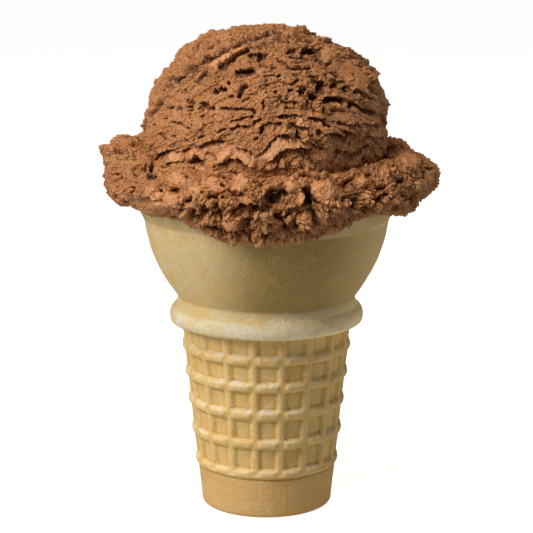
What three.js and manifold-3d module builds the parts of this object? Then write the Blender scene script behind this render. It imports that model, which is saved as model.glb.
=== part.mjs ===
// One scoop of ice cream in a flat-bottomed wafer cup. Millimetres, +Z up.
//
// The origin is the centre of the cup's flat base, -Y is the front. The cup is a thin moulded shell:
// a smooth base band, a barrel of small pockets between upright ribs and rings, a rounded bead, a
// bowl and a flared rim. The ice cream is one body: a ball, the ragged collar that squeezed out
// round its foot and hangs over the rim, and the plug that fills the cup.

import * as THREE from 'three';
import { mergeVertices } from 'three/addons/utils/BufferGeometryUtils.js';
import Module from 'manifold-3d';

const wasm = await Module();
wasm.setup();

// ---- Driving dimensions of the wafer cup ----

const WALL = 2.0;
const FLOOR_THICKNESS = 2.2;

const BASE_FLAT_R = 15.6;
const BASE_R = 16.9;
const BASE_FILLET_Z = 1.3;
const BAND_TOP_R = 17.65;
const BAND_TOP_Z = 9.0;

const BARREL_R_AT_ZERO = 16.76;
const BARREL_TAPER = 0.1043;
const BARREL_TOP_Z = 49.2;
const BARREL_BLANK_R = 20;
const POCKET_DEPTH = 0.75;

const RIB_COUNT = 18;
const RIB_PHASE_DEG = -8.9;
const RIB_CREST_HALF = 0.95;
const RIB_FOOT_HALF = 1.7;

const RING_COUNT = 5;
const TOP_RING_Z = 42.2;
const RING_PITCH = 7.05;
const RING_PITCH_GROWTH = 0.35;
const RING_STAND = 0.6;
const RING_CREST_HALF = 0.7;
const RING_FOOT_HALF = 2.0;

const BEAD_R = 24.9;
const BEAD_Z = 50.3;
const BEAD_UNDERSIDE_Z = 48.4;
const BEAD_UNDERCUT = 0.5;
const NECK_R = 22.7;
const NECK_Z = 55.2;

const RIM_CREASE_R = 31.2;
const RIM_CREASE_Z = 75.0;
const RIM_R = 33.0;
const RIM_Z = 79.4;
const BOWL_BELLY = new THREE.Vector2(29.9, 64.5);

const CUP_SEGMENTS = 48;
const HOLLOW_SEGMENTS = 36;
const COLUMNS_PER_RIB = 4;

// ---- Driving dimensions of the ice cream ----

const BALL_CENTRE = new THREE.Vector3(-0.4, 0, 95.2);
const BALL_R = 31.7;
const BALL_SQUASH = 0.9;
const BALL_DETAIL = 14;
const BALL_SWELL = 0.7;
const BALL_LUMP = 0.8;

// A shoulder of ice cream stands proud on the ball's upper right.
const SHOULDER_AXIS = new THREE.Vector3(0.76, -0.12, 0.64).normalize();
const SHOULDER_EDGE = 0.86;
const SHOULDER_RISE = 2.4;

// The scoop's last turn left a thicker shell on the crown, which ends in a torn ledge. It thins away
// towards +X, from the first share of the radius to the second.
const SHELL_AXIS = new THREE.Vector3(-0.44, 0.44, 0.78).normalize();
const SHELL_EDGE = 0.52;
const SHELL_STEP = 1.2;
const SHELL_THIN_FROM = 0.05;
const SHELL_GONE_AT = 0.55;

// Shallow swells and dents: the direction of the middle, the reach as a share of the radius, and the
// height, which is negative for a dent.
const BALL_SWELLS = [
  [new THREE.Vector3(0.41, -0.1, 0.91), 0.3, -0.5],
  [new THREE.Vector3(0.9, -0.05, 0.43), 0.2, -0.9],
  [new THREE.Vector3(0.58, -0.05, 0.81), 0.15, -1.0],
  [new THREE.Vector3(-0.12, 0, 0.99), 0.2, -0.6],
  [new THREE.Vector3(-0.5, 0, 0.86), 0.22, 1.4],
  [new THREE.Vector3(-0.72, 0, 0.69), 0.2, -0.9],
];

const COLLAR_R = 31;
const COLLAR_Z = 86;
const COLLAR_TILT = 1.6;
const COLLAR_INWARD = 9;
const COLLAR_UPPER_CURVE = { front: 0.82, right: 1, back: 0.82, left: 0.42 };
const COLLAR_LOWER_CURVE = { front: 1, right: 0.86, back: 1, left: 0.62 };
const COLLAR_REACH = { front: 38.6, right: 43.0, back: 40.3, left: 40.4 };
const COLLAR_TOP = { front: 90.4, right: 92.2, back: 91.4, left: 94.2 };

// The height of the collar's lower edge, at angles in degrees from the front towards +X.
const COLLAR_HANG = [
  [-180, 77.4], [-120, 78], [-90, 77.4], [-57, 79], [-42, 78.4], [-28, 77.4], [-20, 75.6], [0, 75.4],
  [15, 75], [24, 76.2], [33, 76.8], [40, 79.2], [55, 79], [70, 77.6], [90, 76.6], [120, 77.6], [180, 77.4],
];
const COLLAR_AROUND = 108;
const COLLAR_SECTION = 20;
const CLUMP_SIZE = 7.5;
const CLUMP_HEIGHT = 4.6;
const LUMP_SIZE = 4.6;
const LUMP_HEIGHT = 1.3;

// The cup and the ice cream are two bodies, so a hair's breadth is kept between them.
const CLEARANCE = 0.3;

// ---- Materials ----

const wafer = new THREE.MeshStandardMaterial({ color: 0xd2b27a, roughness: 0.8, metalness: 0 });
const chocolate = new THREE.MeshStandardMaterial({ color: 0x8a5a3a, roughness: 0.55, metalness: 0 });

// ---- Repeatable roughness ----

// A fixed number from 0 to 1 for each corner of a cubic lattice.
function latticeValue(i, j, k) {
  let bits = Math.imul(i, 73856093) ^ Math.imul(j, 19349663) ^ Math.imul(k, 83492791);
  bits = Math.imul(bits ^ (bits >>> 13), 1274126177);
  bits = bits ^ (bits >>> 16);
  return (bits >>> 0) / 4294967296;
}

function ease(t) {
  return t * t * (3 - 2 * t);
}

// Smooth noise from -1 to 1: the lattice values blended inside each cube of the given size.
function noise(point, size) {
  const [x, y, z] = [point.x / size, point.y / size, point.z / size];
  const [i, j, k] = [Math.floor(x), Math.floor(y), Math.floor(z)];
  const [u, v, w] = [ease(x - i), ease(y - j), ease(z - k)];
  let sum = 0;
  for (let corner = 0; corner < 8; corner++) {
    const [a, b, c] = [corner & 1, (corner >> 1) & 1, corner >> 2];
    const weight = (a ? u : 1 - u) * (b ? v : 1 - v) * (c ? w : 1 - w);
    sum += weight * latticeValue(i + a, j + b, k + c);
  }
  return 2 * sum - 1;
}

// Rounded clumps: 1 at the heart of a clump, falling to 0 in the cracks between clumps.
function clumps(point, size) {
  const [x, y, z] = [point.x / size, point.y / size, point.z / size];
  const [i, j, k] = [Math.floor(x), Math.floor(y), Math.floor(z)];
  let nearest = 9;
  for (let a = i - 1; a <= i + 1; a++) {
    for (let b = j - 1; b <= j + 1; b++) {
      for (let c = k - 1; c <= k + 1; c++) {
        const dx = a + latticeValue(a, b, c) - x;
        const dy = b + latticeValue(a + 57, b, c) - y;
        const dz = c + latticeValue(a, b + 91, c) - z;
        nearest = Math.min(nearest, dx * dx + dy * dy + dz * dz);
      }
    }
  }
  return Math.max(0, 1 - nearest);
}

// ---- Solids ----

// A closed geometry as a solid that can be joined and cut.
function solid(geometry) {
  geometry.deleteAttribute('normal');
  geometry.deleteAttribute('uv');
  const merged = mergeVertices(geometry);
  const vertProperties = new Float32Array(merged.attributes.position.array);
  const triVerts = new Uint32Array(merged.index.array);
  return new wasm.Manifold(new wasm.Mesh({ numProp: 3, vertProperties, triVerts }));
}

function geometryOf(body) {
  const { vertProperties, triVerts } = body.getMesh();
  const geometry = new THREE.BufferGeometry();
  geometry.setAttribute('position', new THREE.BufferAttribute(new Float32Array(vertProperties), 3));
  geometry.setIndex(new THREE.BufferAttribute(new Uint32Array(triVerts), 1));
  geometry.computeVertexNormals();
  return geometry;
}

// A profile of (radius, height) points turned once round the Z axis.
function turned(profile, segments, firstAngle = 0) {
  const geometry = new THREE.LatheGeometry(profile, segments, firstAngle);
  geometry.rotateX(Math.PI / 2);
  return geometry;
}

const at = (radius, height) => new THREE.Vector2(radius, height);

// A point at an angle from the front, turning towards +X.
function pointOn(angle, radius, z) {
  return new THREE.Vector3(radius * Math.sin(angle), -radius * Math.cos(angle), z);
}

// Moves every vertex of a geometry to where place(vertex) puts it.
function reshape(geometry, place) {
  const position = geometry.attributes.position;
  const vertex = new THREE.Vector3();
  for (let i = 0; i < position.count; i++) {
    place(vertex.fromBufferAttribute(position, i));
    position.setXYZ(i, vertex.x, vertex.y, vertex.z);
  }
  return geometry;
}

// ---- Wafer cup ----

// The band's shoulder runs up under the lowest ring.
function baseBand() {
  const shoulderZ = BAND_TOP_Z + 1.4;
  return [at(0, 0), at(BASE_FLAT_R, 0), at(BASE_R - 0.4, 0.4), at(BASE_R, BASE_FILLET_Z),
    at(BAND_TOP_R, BAND_TOP_Z), at(BAND_TOP_R + 0.25, shoulderZ - 0.5), at(BAND_TOP_R, shoulderZ),
    at(0, shoulderZ)];
}

// Ring heights from the top one down, each gap a little wider than the one above.
function ringHeights() {
  const heights = [];
  for (let ring = 0; ring < RING_COUNT; ring++) {
    heights.push(TOP_RING_Z - ring * RING_PITCH - (ring * (ring - 1) / 2) * RING_PITCH_GROWTH);
  }
  return heights;
}

// A bar's section: 1 over its crest, sloping to 0 at its foot.
function bar(offset, crestHalf, footHalf) {
  return 1 - THREE.MathUtils.smoothstep(Math.abs(offset), crestHalf, footHalf);
}

// Height of the moulded ribs and rings above the pocket floors, offset mm from a rib's middle.
function waffleRelief(offset, z) {
  const rib = POCKET_DEPTH * bar(offset, RIB_CREST_HALF, RIB_FOOT_HALF);
  const ringHeight = POCKET_DEPTH + RING_STAND;
  const rings = ringHeights().map((height) => ringHeight * bar(z - height, RING_CREST_HALF, RING_FOOT_HALF));
  return Math.max(rib, ...rings);
}

function barrelProfile() {
  const profile = [at(0, BAND_TOP_Z - 2), at(BASE_R - 1, BAND_TOP_Z - 2)];
  for (const height of ringHeights().reverse()) {
    for (const step of [-RING_FOOT_HALF, -RING_CREST_HALF, RING_CREST_HALF, RING_FOOT_HALF]) {
      profile.push(at(BARREL_BLANK_R, height + step));
    }
  }
  profile.push(at(BARREL_BLANK_R, BARREL_TOP_Z), at(0, BARREL_TOP_Z));
  return profile;
}

// The barrel starts with evenly spaced columns, four to a rib. Two of them close in on the rib's
// crest and the other two on its feet, and then the ribs and rings are raised.
function barrel() {
  const pitch = 2 * Math.PI / RIB_COUNT;
  const phase = THREE.MathUtils.degToRad(RIB_PHASE_DEG);
  const columns = turned(barrelProfile(), RIB_COUNT * COLUMNS_PER_RIB, phase + pitch / 8);
  return reshape(columns, (vertex) => {
    if (Math.hypot(vertex.x, vertex.y) < BARREL_BLANK_R - 0.5) {
      return;
    }
    const fromPhase = Math.atan2(vertex.x, -vertex.y) - phase;
    const ribAngle = phase + pitch * Math.round(fromPhase / pitch);
    const fromRib = fromPhase + phase - ribAngle;
    const offset = Math.sign(fromRib) * (Math.abs(fromRib) < pitch / 4 ? RIB_CREST_HALF : RIB_FOOT_HALF);
    const ribLine = BARREL_R_AT_ZERO + BARREL_TAPER * vertex.z;
    const radius = ribLine - POCKET_DEPTH + waffleRelief(offset, vertex.z);
    vertex.copy(pointOn(ribAngle + offset / ribLine, radius, vertex.z));
  });
}

// The bead's face: a tight round below, and a soft ridge above it where the slope to the neck starts.
function beadCurve() {
  return new THREE.SplineCurve([at(BEAD_R - 0.9, BEAD_UNDERSIDE_Z), at(BEAD_R - 0.25, BEAD_Z - 1.3),
    at(BEAD_R, BEAD_Z), at(BEAD_R - 0.3, BEAD_Z + 1.2), at(BEAD_R - 0.9, BEAD_Z + 2.4), at(NECK_R, NECK_Z)]);
}

// The bowl swells from the neck to the crease under the rim, in an arc offset inwards by inset.
function bowlCurve(inset) {
  return new THREE.QuadraticBezierCurve(at(NECK_R - inset, NECK_Z),
    at(BOWL_BELLY.x - inset, BOWL_BELLY.y), at(RIM_CREASE_R - inset, RIM_CREASE_Z));
}

// The bead's underside is cut back a little, so that the bead overhangs the barrel.
function upperProfile() {
  const undercutZ = BEAD_UNDERSIDE_Z + BEAD_UNDERCUT;
  return [at(0, undercutZ), at(BEAD_R - 3, undercutZ),
    ...beadCurve().getPoints(9), ...bowlCurve(0).getPoints(8).slice(1),
    at(RIM_R, RIM_Z - 0.5), at(RIM_R - 0.4, RIM_Z), at(0, RIM_Z)];
}

// The inside of the cup: the wall is close to one thickness all the way up.
function hollowProfile(inset) {
  const floorR = BASE_R - WALL - inset;
  const shoulderR = BARREL_R_AT_ZERO + BARREL_TAPER * BARREL_TOP_Z - POCKET_DEPTH - WALL - inset;
  return [at(0, FLOOR_THICKNESS + inset), at(floorR - 0.8, FLOOR_THICKNESS + inset),
    at(floorR, FLOOR_THICKNESS + 1 + inset), at(shoulderR, BARREL_TOP_Z),
    ...bowlCurve(WALL + inset).getPoints(6), at(RIM_R - WALL - inset, RIM_Z)];
}

function cupHollow() {
  const mouth = at(RIM_R - WALL + 0.6, RIM_Z + 3);
  return turned([...hollowProfile(0), mouth, at(0, mouth.y)], HOLLOW_SEGMENTS);
}

function waferCup() {
  return solid(turned(baseBand(), CUP_SEGMENTS))
    .add(solid(barrel()))
    .add(solid(turned(upperProfile(), CUP_SEGMENTS)))
    .subtract(solid(cupHollow()));
}

// ---- Ice cream ----

// How far the ball's surface stands out from its smooth, slightly squashed form.
function ballRise(out) {
  const { smoothstep } = THREE.MathUtils;
  const shell = smoothstep(out.dot(SHELL_AXIS), SHELL_EDGE - 0.03, SHELL_EDGE + 0.03) - 0.4;
  const thinned = 1 - smoothstep(out.x, SHELL_THIN_FROM, SHELL_GONE_AT);
  const shoulder = smoothstep(out.dot(SHOULDER_AXIS), SHOULDER_EDGE, 1);
  const place = out.clone().multiplyScalar(BALL_R);
  let rise = BALL_SWELL * noise(place, 17) + BALL_LUMP * noise(place, 7)
    + SHELL_STEP * shell * thinned + SHOULDER_RISE * shoulder;
  for (const [toward, reach, height] of BALL_SWELLS) {
    rise += height * Math.exp(-out.distanceToSquared(toward) / reach ** 2);
  }
  return rise;
}

function ball() {
  return reshape(new THREE.IcosahedronGeometry(BALL_R, BALL_DETAIL), (vertex) => {
    const out = vertex.clone().normalize();
    vertex.addScaledVector(out, ballRise(out));
    vertex.z *= BALL_SQUASH;
    vertex.add(BALL_CENTRE);
  });
}

// Blends four sizes, one for each side, smoothly round the axis.
function around(angle, sizes) {
  const front = Math.max(0, Math.cos(angle)) ** 2;
  const back = Math.max(0, -Math.cos(angle)) ** 2;
  const right = Math.max(0, Math.sin(angle)) ** 2;
  const left = Math.max(0, -Math.sin(angle)) ** 2;
  return front * sizes.front + back * sizes.back + right * sizes.right + left * sizes.left;
}

// The collar's lower edge at one angle, straight from each listed height to the next.
function hangAt(angle) {
  const degrees = THREE.MathUtils.radToDeg(Math.atan2(Math.sin(angle), Math.cos(angle)));
  const next = Math.max(1, COLLAR_HANG.findIndex(([listed]) => listed >= degrees));
  const [[from, low], [to, high]] = [COLLAR_HANG[next - 1], COLLAR_HANG[next]];
  return THREE.MathUtils.mapLinear(degrees, from, to, low, high);
}

const bent = (value, power) => Math.sign(value) * Math.abs(value) ** power;

// The collar's section at one angle is an oval, squarer above than below, and tipped so that its
// outer edge turns up. A power of the sine and cosine sets how square each half is. The outer side
// is pushed in and out by large clumps and smaller lumps.
function collarPoint(angle, turn) {
  const above = turn < Math.PI;
  const power = around(angle, above ? COLLAR_UPPER_CURVE : COLLAR_LOWER_CURVE);
  const out = bent(Math.cos(turn), power);
  const up = bent(Math.sin(turn), power);
  const outward = out * (out > 0 ? around(angle, COLLAR_REACH) - COLLAR_R : COLLAR_INWARD);
  const height = above ? around(angle, COLLAR_TOP) - COLLAR_Z : COLLAR_Z - hangAt(angle);
  const upward = up * height + COLLAR_TILT * out;
  const smooth = pointOn(angle, COLLAR_R + outward, COLLAR_Z + upward);
  const rough = CLUMP_HEIGHT * (clumps(smooth, CLUMP_SIZE) - 0.7) + LUMP_HEIGHT * noise(smooth, LUMP_SIZE);
  const push = rough * THREE.MathUtils.smoothstep(outward, -1, 4) / Math.hypot(outward, upward);
  return pointOn(angle, COLLAR_R + outward * (1 + push), COLLAR_Z + upward * (1 + push));
}

function collar() {
  const section = [];
  for (let step = 0; step <= COLLAR_SECTION; step++) {
    const turn = 2 * Math.PI * step / COLLAR_SECTION;
    section.push(at(COLLAR_R + 8 * Math.cos(turn), COLLAR_Z + 8 * Math.sin(turn)));
  }
  return reshape(turned(section, COLLAR_AROUND), (vertex) => {
    const angle = Math.atan2(vertex.x, -vertex.y);
    const turn = Math.atan2(vertex.z - COLLAR_Z, Math.hypot(vertex.x, vertex.y) - COLLAR_R);
    vertex.copy(collarPoint(angle, turn < 0 ? turn + 2 * Math.PI : turn));
  });
}

// The plug's side runs inside the cup's wall, where the grown cup trims it to the hollow.
function plug() {
  const crown = at(RIM_R - WALL / 2, COLLAR_Z - 2);
  return turned([...hollowProfile(-WALL / 2), crown, at(0, crown.y)], HOLLOW_SEGMENTS);
}

// The cup's wall grown by the clearance on both sides, as a closed ring with its floor.
function grownCup() {
  const outside = [at(0, -CLEARANCE), at(BEAD_R, -CLEARANCE), at(BEAD_R, BEAD_Z),
    ...bowlCurve(-CLEARANCE).getPoints(8), at(RIM_R + CLEARANCE, RIM_Z - 0.5),
    at(RIM_R + CLEARANCE, RIM_Z + CLEARANCE)];
  const inside = [...hollowProfile(CLEARANCE), at(RIM_R - WALL - CLEARANCE, RIM_Z + CLEARANCE)];
  return turned([...outside, ...inside.reverse()], HOLLOW_SEGMENTS);
}

function scoop() {
  return solid(ball())
    .add(solid(collar()))
    .add(solid(plug()))
    .subtract(solid(grownCup()));
}

// ---- Assembly ----

function named(name, body, material) {
  const mesh = new THREE.Mesh(geometryOf(body), material);
  mesh.name = name;
  return mesh;
}

const group = new THREE.Group();
group.add(named('wafer_cone', waferCup(), wafer));
group.add(named('ice_cream_scoop', scoop(), chocolate));

export default group;
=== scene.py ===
import bpy
import numpy as np
from mathutils import Matrix


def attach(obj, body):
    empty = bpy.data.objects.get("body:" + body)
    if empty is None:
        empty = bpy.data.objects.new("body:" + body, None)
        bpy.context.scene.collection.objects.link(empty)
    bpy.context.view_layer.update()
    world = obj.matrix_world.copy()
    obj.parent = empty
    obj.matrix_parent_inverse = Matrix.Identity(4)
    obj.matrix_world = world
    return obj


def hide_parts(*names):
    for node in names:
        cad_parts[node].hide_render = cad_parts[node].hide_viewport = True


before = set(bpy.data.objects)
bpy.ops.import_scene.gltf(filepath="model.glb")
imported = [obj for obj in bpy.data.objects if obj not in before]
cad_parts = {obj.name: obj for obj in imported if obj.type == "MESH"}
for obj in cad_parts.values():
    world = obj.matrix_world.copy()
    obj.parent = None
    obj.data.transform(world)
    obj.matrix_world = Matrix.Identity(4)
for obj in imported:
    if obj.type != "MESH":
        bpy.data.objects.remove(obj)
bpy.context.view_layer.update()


# ---- The wafer cup ----
# A thin shell of batter, baked crisp in a two-part mould. The mould gives it the base band, the barrel of
# square pockets between ribs and rings, the overhanging bead, the bowl and the rim. Sizes, here and in the
# sections below, are in millimetres.

WALL = 2.0
FLOOR_THICKNESS = 2.2
BASE_FLAT_R = 15.6
BASE_FILLET = 1.3
BASE_R = 16.9
BAND_TOP_R = 17.65
BAND_TOP_Z = 9.0
BARREL_R_AT_ZERO = 16.76
BARREL_TAPER = 0.1043
POCKET_DEPTH = 0.74
RIB_COUNT = 18
RIB_PHASE = np.radians(-8.9)
RIB_HALF = 1.4
RING_COUNT = 5
TOP_RING_Z = 42.2
RING_PITCH = 7.05
RING_PITCH_GROWTH = 0.35
RING_STAND = 0.56
RING_HALF = 1.5
SEAM_ANGLE = np.radians(15.5)
SEAM_HEIGHT = 0.1
BEAD_R = 24.9
BEAD_Z = 50.3
BEAD_UNDERSIDE_Z = 48.4
NECK_R = 22.7
NECK_Z = 55.2
BOWL_BELLY = (29.9, 64.5)
RIM_CREASE = (31.2, 75.0)
CREASE_LINE = 0.1
RIM_R = 33.0
RIM_Z = 79.4
POLE_R = 0.05
BARREL_ROW_STEP = 0.28
CUP_COLUMNS = RIB_COUNT * 18

BAND_PEACH = (0.665, 0.425, 0.18, 1)
BARREL_GOLD = (0.73, 0.50, 0.185, 1)
BEAD_CREAM = (0.64, 0.53, 0.28, 1)
# Paler bead tone towards the right: painted light.
BEAD_PAINTED_LIGHT = (1.0, 0.85, 0.52, 1)
BOWL_BEIGE = (0.66, 0.50, 0.25, 1)
# Painted shadow of the collar on the bowl's front.
BOWL_PAINTED_SHADOW = (0.305, 0.205, 0.058, 1)
BOWL_GOLD = (0.66, 0.40, 0.11, 1)
# Painted shade on the rim band under the collar.
RIM_PAINTED_SHADE = (0.47, 0.37, 0.19, 1)
DEEP_GOLD = (0.66, 0.37, 0.07, 1)
# Painted shade in the wafer's hollows.
PAINTED_SHADE_BROWN = (0.58, 0.31, 0.035, 1)
# Flour, also used for painted highlight on what faces up and on crests.
FLOUR_AND_HIGHLIGHT = (0.74, 0.67, 0.53, 1)


def smoothstep(value, low, high):
    """0 below low, 1 above high, and an even S between them."""
    share = np.clip((value - low) / (high - low), 0, 1)
    return share * share * (3 - 2 * share)


def lattice_value(i, j, k):
    """One fixed number from 0 to 1 for each corner of a cubic lattice: its three whole numbers, multiplied
    by large primes, mixed bit by bit and mixed again."""
    bits = i * np.uint32(73856093) ^ j * np.uint32(19349663) ^ k * np.uint32(83492791)
    bits = (bits ^ (bits >> np.uint32(13))) * np.uint32(1274126177)
    bits = bits ^ (bits >> np.uint32(16))
    return bits / 4294967296.0


def lattice_cell(place, size):
    """The lattice cube that each place falls in, as three whole numbers, and where it is inside it."""
    scaled = np.asarray(place) / size
    cell = np.floor(scaled)
    return cell.astype(np.int64).astype(np.uint32), scaled - cell


def noise(place, size):
    """Smooth noise from -1 to 1: the lattice values blended inside each cube of the given size."""
    cell, inside = lattice_cell(place, size)
    weight = inside * inside * (3 - 2 * inside)
    total = 0
    for corner in np.ndindex(2, 2, 2):
        share = np.prod(np.where(corner, weight, 1 - weight), axis=-1)
        total = total + share * lattice_value(*np.moveaxis(cell + np.array(corner, np.uint32), -1, 0))
    return 2 * total - 1


def curve(points, steps):
    """A smooth line through the points: between two of them a cubic, whose slope at each point is half of
    the way from the point before it to the point after it."""
    points = np.asarray(points, float)
    padded = np.vstack([points[:1], points, points[-1:]])
    where = np.linspace(0, len(points) - 1, steps)
    first = np.minimum(where.astype(int), len(points) - 2)
    t = (where - first)[:, None]
    a, b, c, d = (padded[first + n] for n in range(4))
    return 0.5 * (2 * b + (c - a) * t + (2 * a - 5 * b + 4 * c - d) * t**2 + (3 * b - a - 3 * c + d) * t**3)


def bowl(inset, steps):
    """The bowl's side from neck to crease: a quadratic arc drawn towards its belly, moved in by inset."""
    t = np.linspace(0, 1, steps)[:, None]
    neck, belly, crease = (np.array(p) - (inset, 0) for p in ((NECK_R, NECK_Z), BOWL_BELLY, RIM_CREASE))
    return (1 - t) ** 2 * neck + 2 * t * (1 - t) * belly + t**2 * crease


def cup_section():
    """The shell's closed section as rows of (radius, height): out along the base, up the outside, over the
    rim, down the inside and in along the floor. Also says which rows are the barrel's, and which are
    outside: all but the shaft's, the inner bowl's and the rim's last two."""
    turn = np.linspace(0, np.pi / 2, 9)[1:, None]
    base = np.linspace((POLE_R, 0), (BASE_FLAT_R, 0), 6)
    fillet = np.array([BASE_FLAT_R, BASE_FILLET]) + BASE_FILLET * np.hstack([np.sin(turn), -np.cos(turn)])
    band = np.linspace((BASE_R, BASE_FILLET), (BAND_TOP_R, BAND_TOP_Z), 26)[1:]
    heights = np.arange(BAND_TOP_Z + BARREL_ROW_STEP, BEAD_UNDERSIDE_Z + 0.45, BARREL_ROW_STEP)
    barrel = np.stack([BARREL_R_AT_ZERO + BARREL_TAPER * heights - POCKET_DEPTH, heights], axis=1)
    bead = curve([(BEAD_R - 3.0, BEAD_UNDERSIDE_Z + 0.5), (BEAD_R - 1.7, BEAD_UNDERSIDE_Z + 0.1),
                  (BEAD_R - 0.9, BEAD_UNDERSIDE_Z), (BEAD_R - 0.25, BEAD_Z - 1.3), (BEAD_R, BEAD_Z),
                  (BEAD_R - 0.25, BEAD_Z + 1.2), (BEAD_R - 0.75, BEAD_Z + 2.0), (BEAD_R - 1.5, BEAD_Z + 2.7),
                  (BEAD_R - 2.0, BEAD_Z + 3.8), (NECK_R, NECK_Z)], 38)
    rim = curve([RIM_CREASE, (RIM_CREASE[0] + 0.6, RIM_CREASE[1] + 1.2), (RIM_R, RIM_Z - 0.6),
                 (RIM_R - 0.35, RIM_Z), (RIM_R - WALL + 0.4, RIM_Z), (RIM_R - WALL, RIM_Z - 0.8)], 20)[1:]
    inside = bowl(WALL, 9)[::-1]
    shaft = [(BASE_R + 0.6, BEAD_UNDERSIDE_Z), (BASE_R - WALL, FLOOR_THICKNESS + 1),
             (BASE_R - WALL - 0.8, FLOOR_THICKNESS), (POLE_R, FLOOR_THICKNESS)]
    parts = [base, fillet, band, barrel, bead, bowl(0, 46)[1:], rim, inside, shaft]
    is_barrel = np.repeat([False, False, False, True] + [False] * 5, [len(p) for p in parts])
    is_outside = np.arange(len(is_barrel)) < len(is_barrel) - len(shaft) - len(inside) - 2
    return np.vstack(parts), is_barrel, is_outside


def bar(offset, half):
    """The height of a bar with a rounded crest, 1 in its middle and 0 at half the bar's width from it."""
    return np.sin(np.pi / 2 * np.clip((half - abs(offset)) / (0.8 * half), 0, 1))


def waffle_relief(angle, height):
    """How far ribs and rings stand out of the pocket floors. Each bar wanders and swells a little along its
    length. The ribs end at the lowest ring, and a ring sinks to the ribs' level where it crosses one."""
    drift = np.stack([6 * np.sin(angle), -6 * np.cos(angle), height + 0 * angle], axis=-1)
    radius = BARREL_R_AT_ZERO + BARREL_TAPER * height
    pitch = 2 * np.pi / RIB_COUNT
    off_rib = ((angle - RIB_PHASE + pitch / 2) % pitch - pitch / 2) * radius + 0.14 * noise(drift, 3)
    rib = bar(off_rib, RIB_HALF + 0.12 * noise(drift + 60, 3))
    ring = 0
    for number in range(RING_COUNT):
        level = TOP_RING_Z - number * RING_PITCH - number * (number - 1) / 2 * RING_PITCH_GROWTH
        off_ring = height - level + 0.16 * noise(drift + 80, 2.4)
        ring = np.maximum(ring, bar(off_ring, RING_HALF + 0.12 * noise(drift + 100, 3)))
    rib = rib * smoothstep(height, level - 0.5, level)
    stand = RING_STAND * (1 - 0.72 * rib) * (1 + 0.15 * noise(drift + 120, 2.2))
    return POCKET_DEPTH * (rib + ring - rib * ring) * (1 + 0.1 * noise(drift + 40, 4)) + stand * ring


def cup_surface(angle, section, is_barrel, is_outside):
    """The section turned round the axis. The barrel's rows get the waffle relief, the band's shoulder runs
    up under the lowest ring, a fine seam stands on two sides, a thin line stands in the rim's crease, and
    the whole outside is slightly uneven. Also puts out the relief alone."""
    radius, height = (np.broadcast_to(c[:, None], (len(c), len(angle))) for c in section.T)
    angle = np.broadcast_to(angle, radius.shape)
    relief = waffle_relief(angle, height) * is_barrel[:, None]
    band_edge = BAND_TOP_R + 0.09 * (height - BAND_TOP_Z) - 3 * smoothstep(height - BAND_TOP_Z, 1.1, 2.6)
    relief = np.where(is_barrel[:, None], np.maximum(relief, band_edge - radius), 0)
    radius = radius + relief
    off_seam = ((angle - SEAM_ANGLE + np.pi / 2) % np.pi - np.pi / 2) * radius
    crease = CREASE_LINE * np.exp(-(((height - RIM_CREASE[1]) / 0.3) ** 2))
    place = np.stack([radius * np.sin(angle), -radius * np.cos(angle), height], axis=-1)
    uneven = 0.09 * noise(place, 8) + 0.06 * noise(place, 2.6) + 0.05 * noise(place, 1.1)
    seam = SEAM_HEIGHT * np.exp(-((off_seam / 0.22) ** 2)) * (height < BEAD_UNDERSIDE_Z)
    relief = np.where(is_barrel[:, None], relief, POCKET_DEPTH)
    grown = radius + (uneven + seam + crease) * is_outside[:, None] * np.clip(height / 2, 0, 1)
    return np.stack([grown * np.sin(angle), -grown * np.cos(angle), height], axis=-1), relief


def grid_quads(rows, columns):
    """Corner numbers of the quads between each row and the next, with every row closed into a ring."""
    corner = np.arange(rows * columns).reshape(rows, columns)
    right = np.roll(corner, -1, axis=1)
    return np.stack([corner[:-1], right[:-1], right[1:], corner[1:]], axis=-1).reshape(-1, 4)


def cap_triangles(ring, tip):
    """Corner numbers of the fan that closes a ring of corners onto one tip corner."""
    return np.stack([ring, np.full(len(ring), tip), np.roll(ring, -1)], axis=-1)


def surroundings(values, closed, reach):
    """The mean of a grid's values round each corner, over so many corners each way. A closed grid joins its
    last row and column to the first ones."""
    margins = ((reach + 1, reach), (reach + 1, reach))
    total = np.pad(values, margins, mode="wrap" if closed else "edge").cumsum(0).cumsum(1)
    span = 2 * reach + 1
    wide = total[span:] - total[:-span]
    return (wide[:, span:] - wide[:, :-span]) / span**2


def hollowness(height, closed, reaches):
    """How deep each corner of a grid lies below the mean height of its surroundings, summed over several
    reaches, each with its weight."""
    return sum(weight * (surroundings(height, closed, reach) - height) for reach, weight in reaches.items())


def make_piece(name, place, quads, triangles=(), normals=None, **measures):
    """A smooth-shaded mesh piece from places in millimetres, quads and triangles, with the given measures
    kept as point attributes that its material reads. Normals are given where neighbours share them."""
    mesh = bpy.data.meshes.new(name)
    faces = np.concatenate([np.ravel(quads), np.ravel(triangles)]).astype(np.int32)
    sizes = np.array([4] * len(quads) + [3] * len(triangles), np.int32)
    mesh.vertices.add(len(place))
    mesh.loops.add(len(faces))
    mesh.polygons.add(len(sizes))
    mesh.vertices.foreach_set("co", np.ravel(place * 0.001).astype(np.float32))
    mesh.loops.foreach_set("vertex_index", faces)
    mesh.polygons.foreach_set("loop_start", np.concatenate([[0], np.cumsum(sizes)[:-1]]).astype(np.int32))
    mesh.polygons.foreach_set("use_smooth", np.ones(len(sizes), bool))
    mesh.update(calc_edges=True)
    for measure, values in measures.items():
        layer = mesh.attributes.new(measure, "FLOAT", "POINT")
        layer.data.foreach_set("value", np.ravel(values).astype(np.float32))
    if normals is not None:
        mesh.normals_split_custom_set_from_vertices(normals.tolist())
    piece = bpy.data.objects.new(name, mesh)
    bpy.context.scene.collection.objects.link(piece)
    return piece


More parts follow.
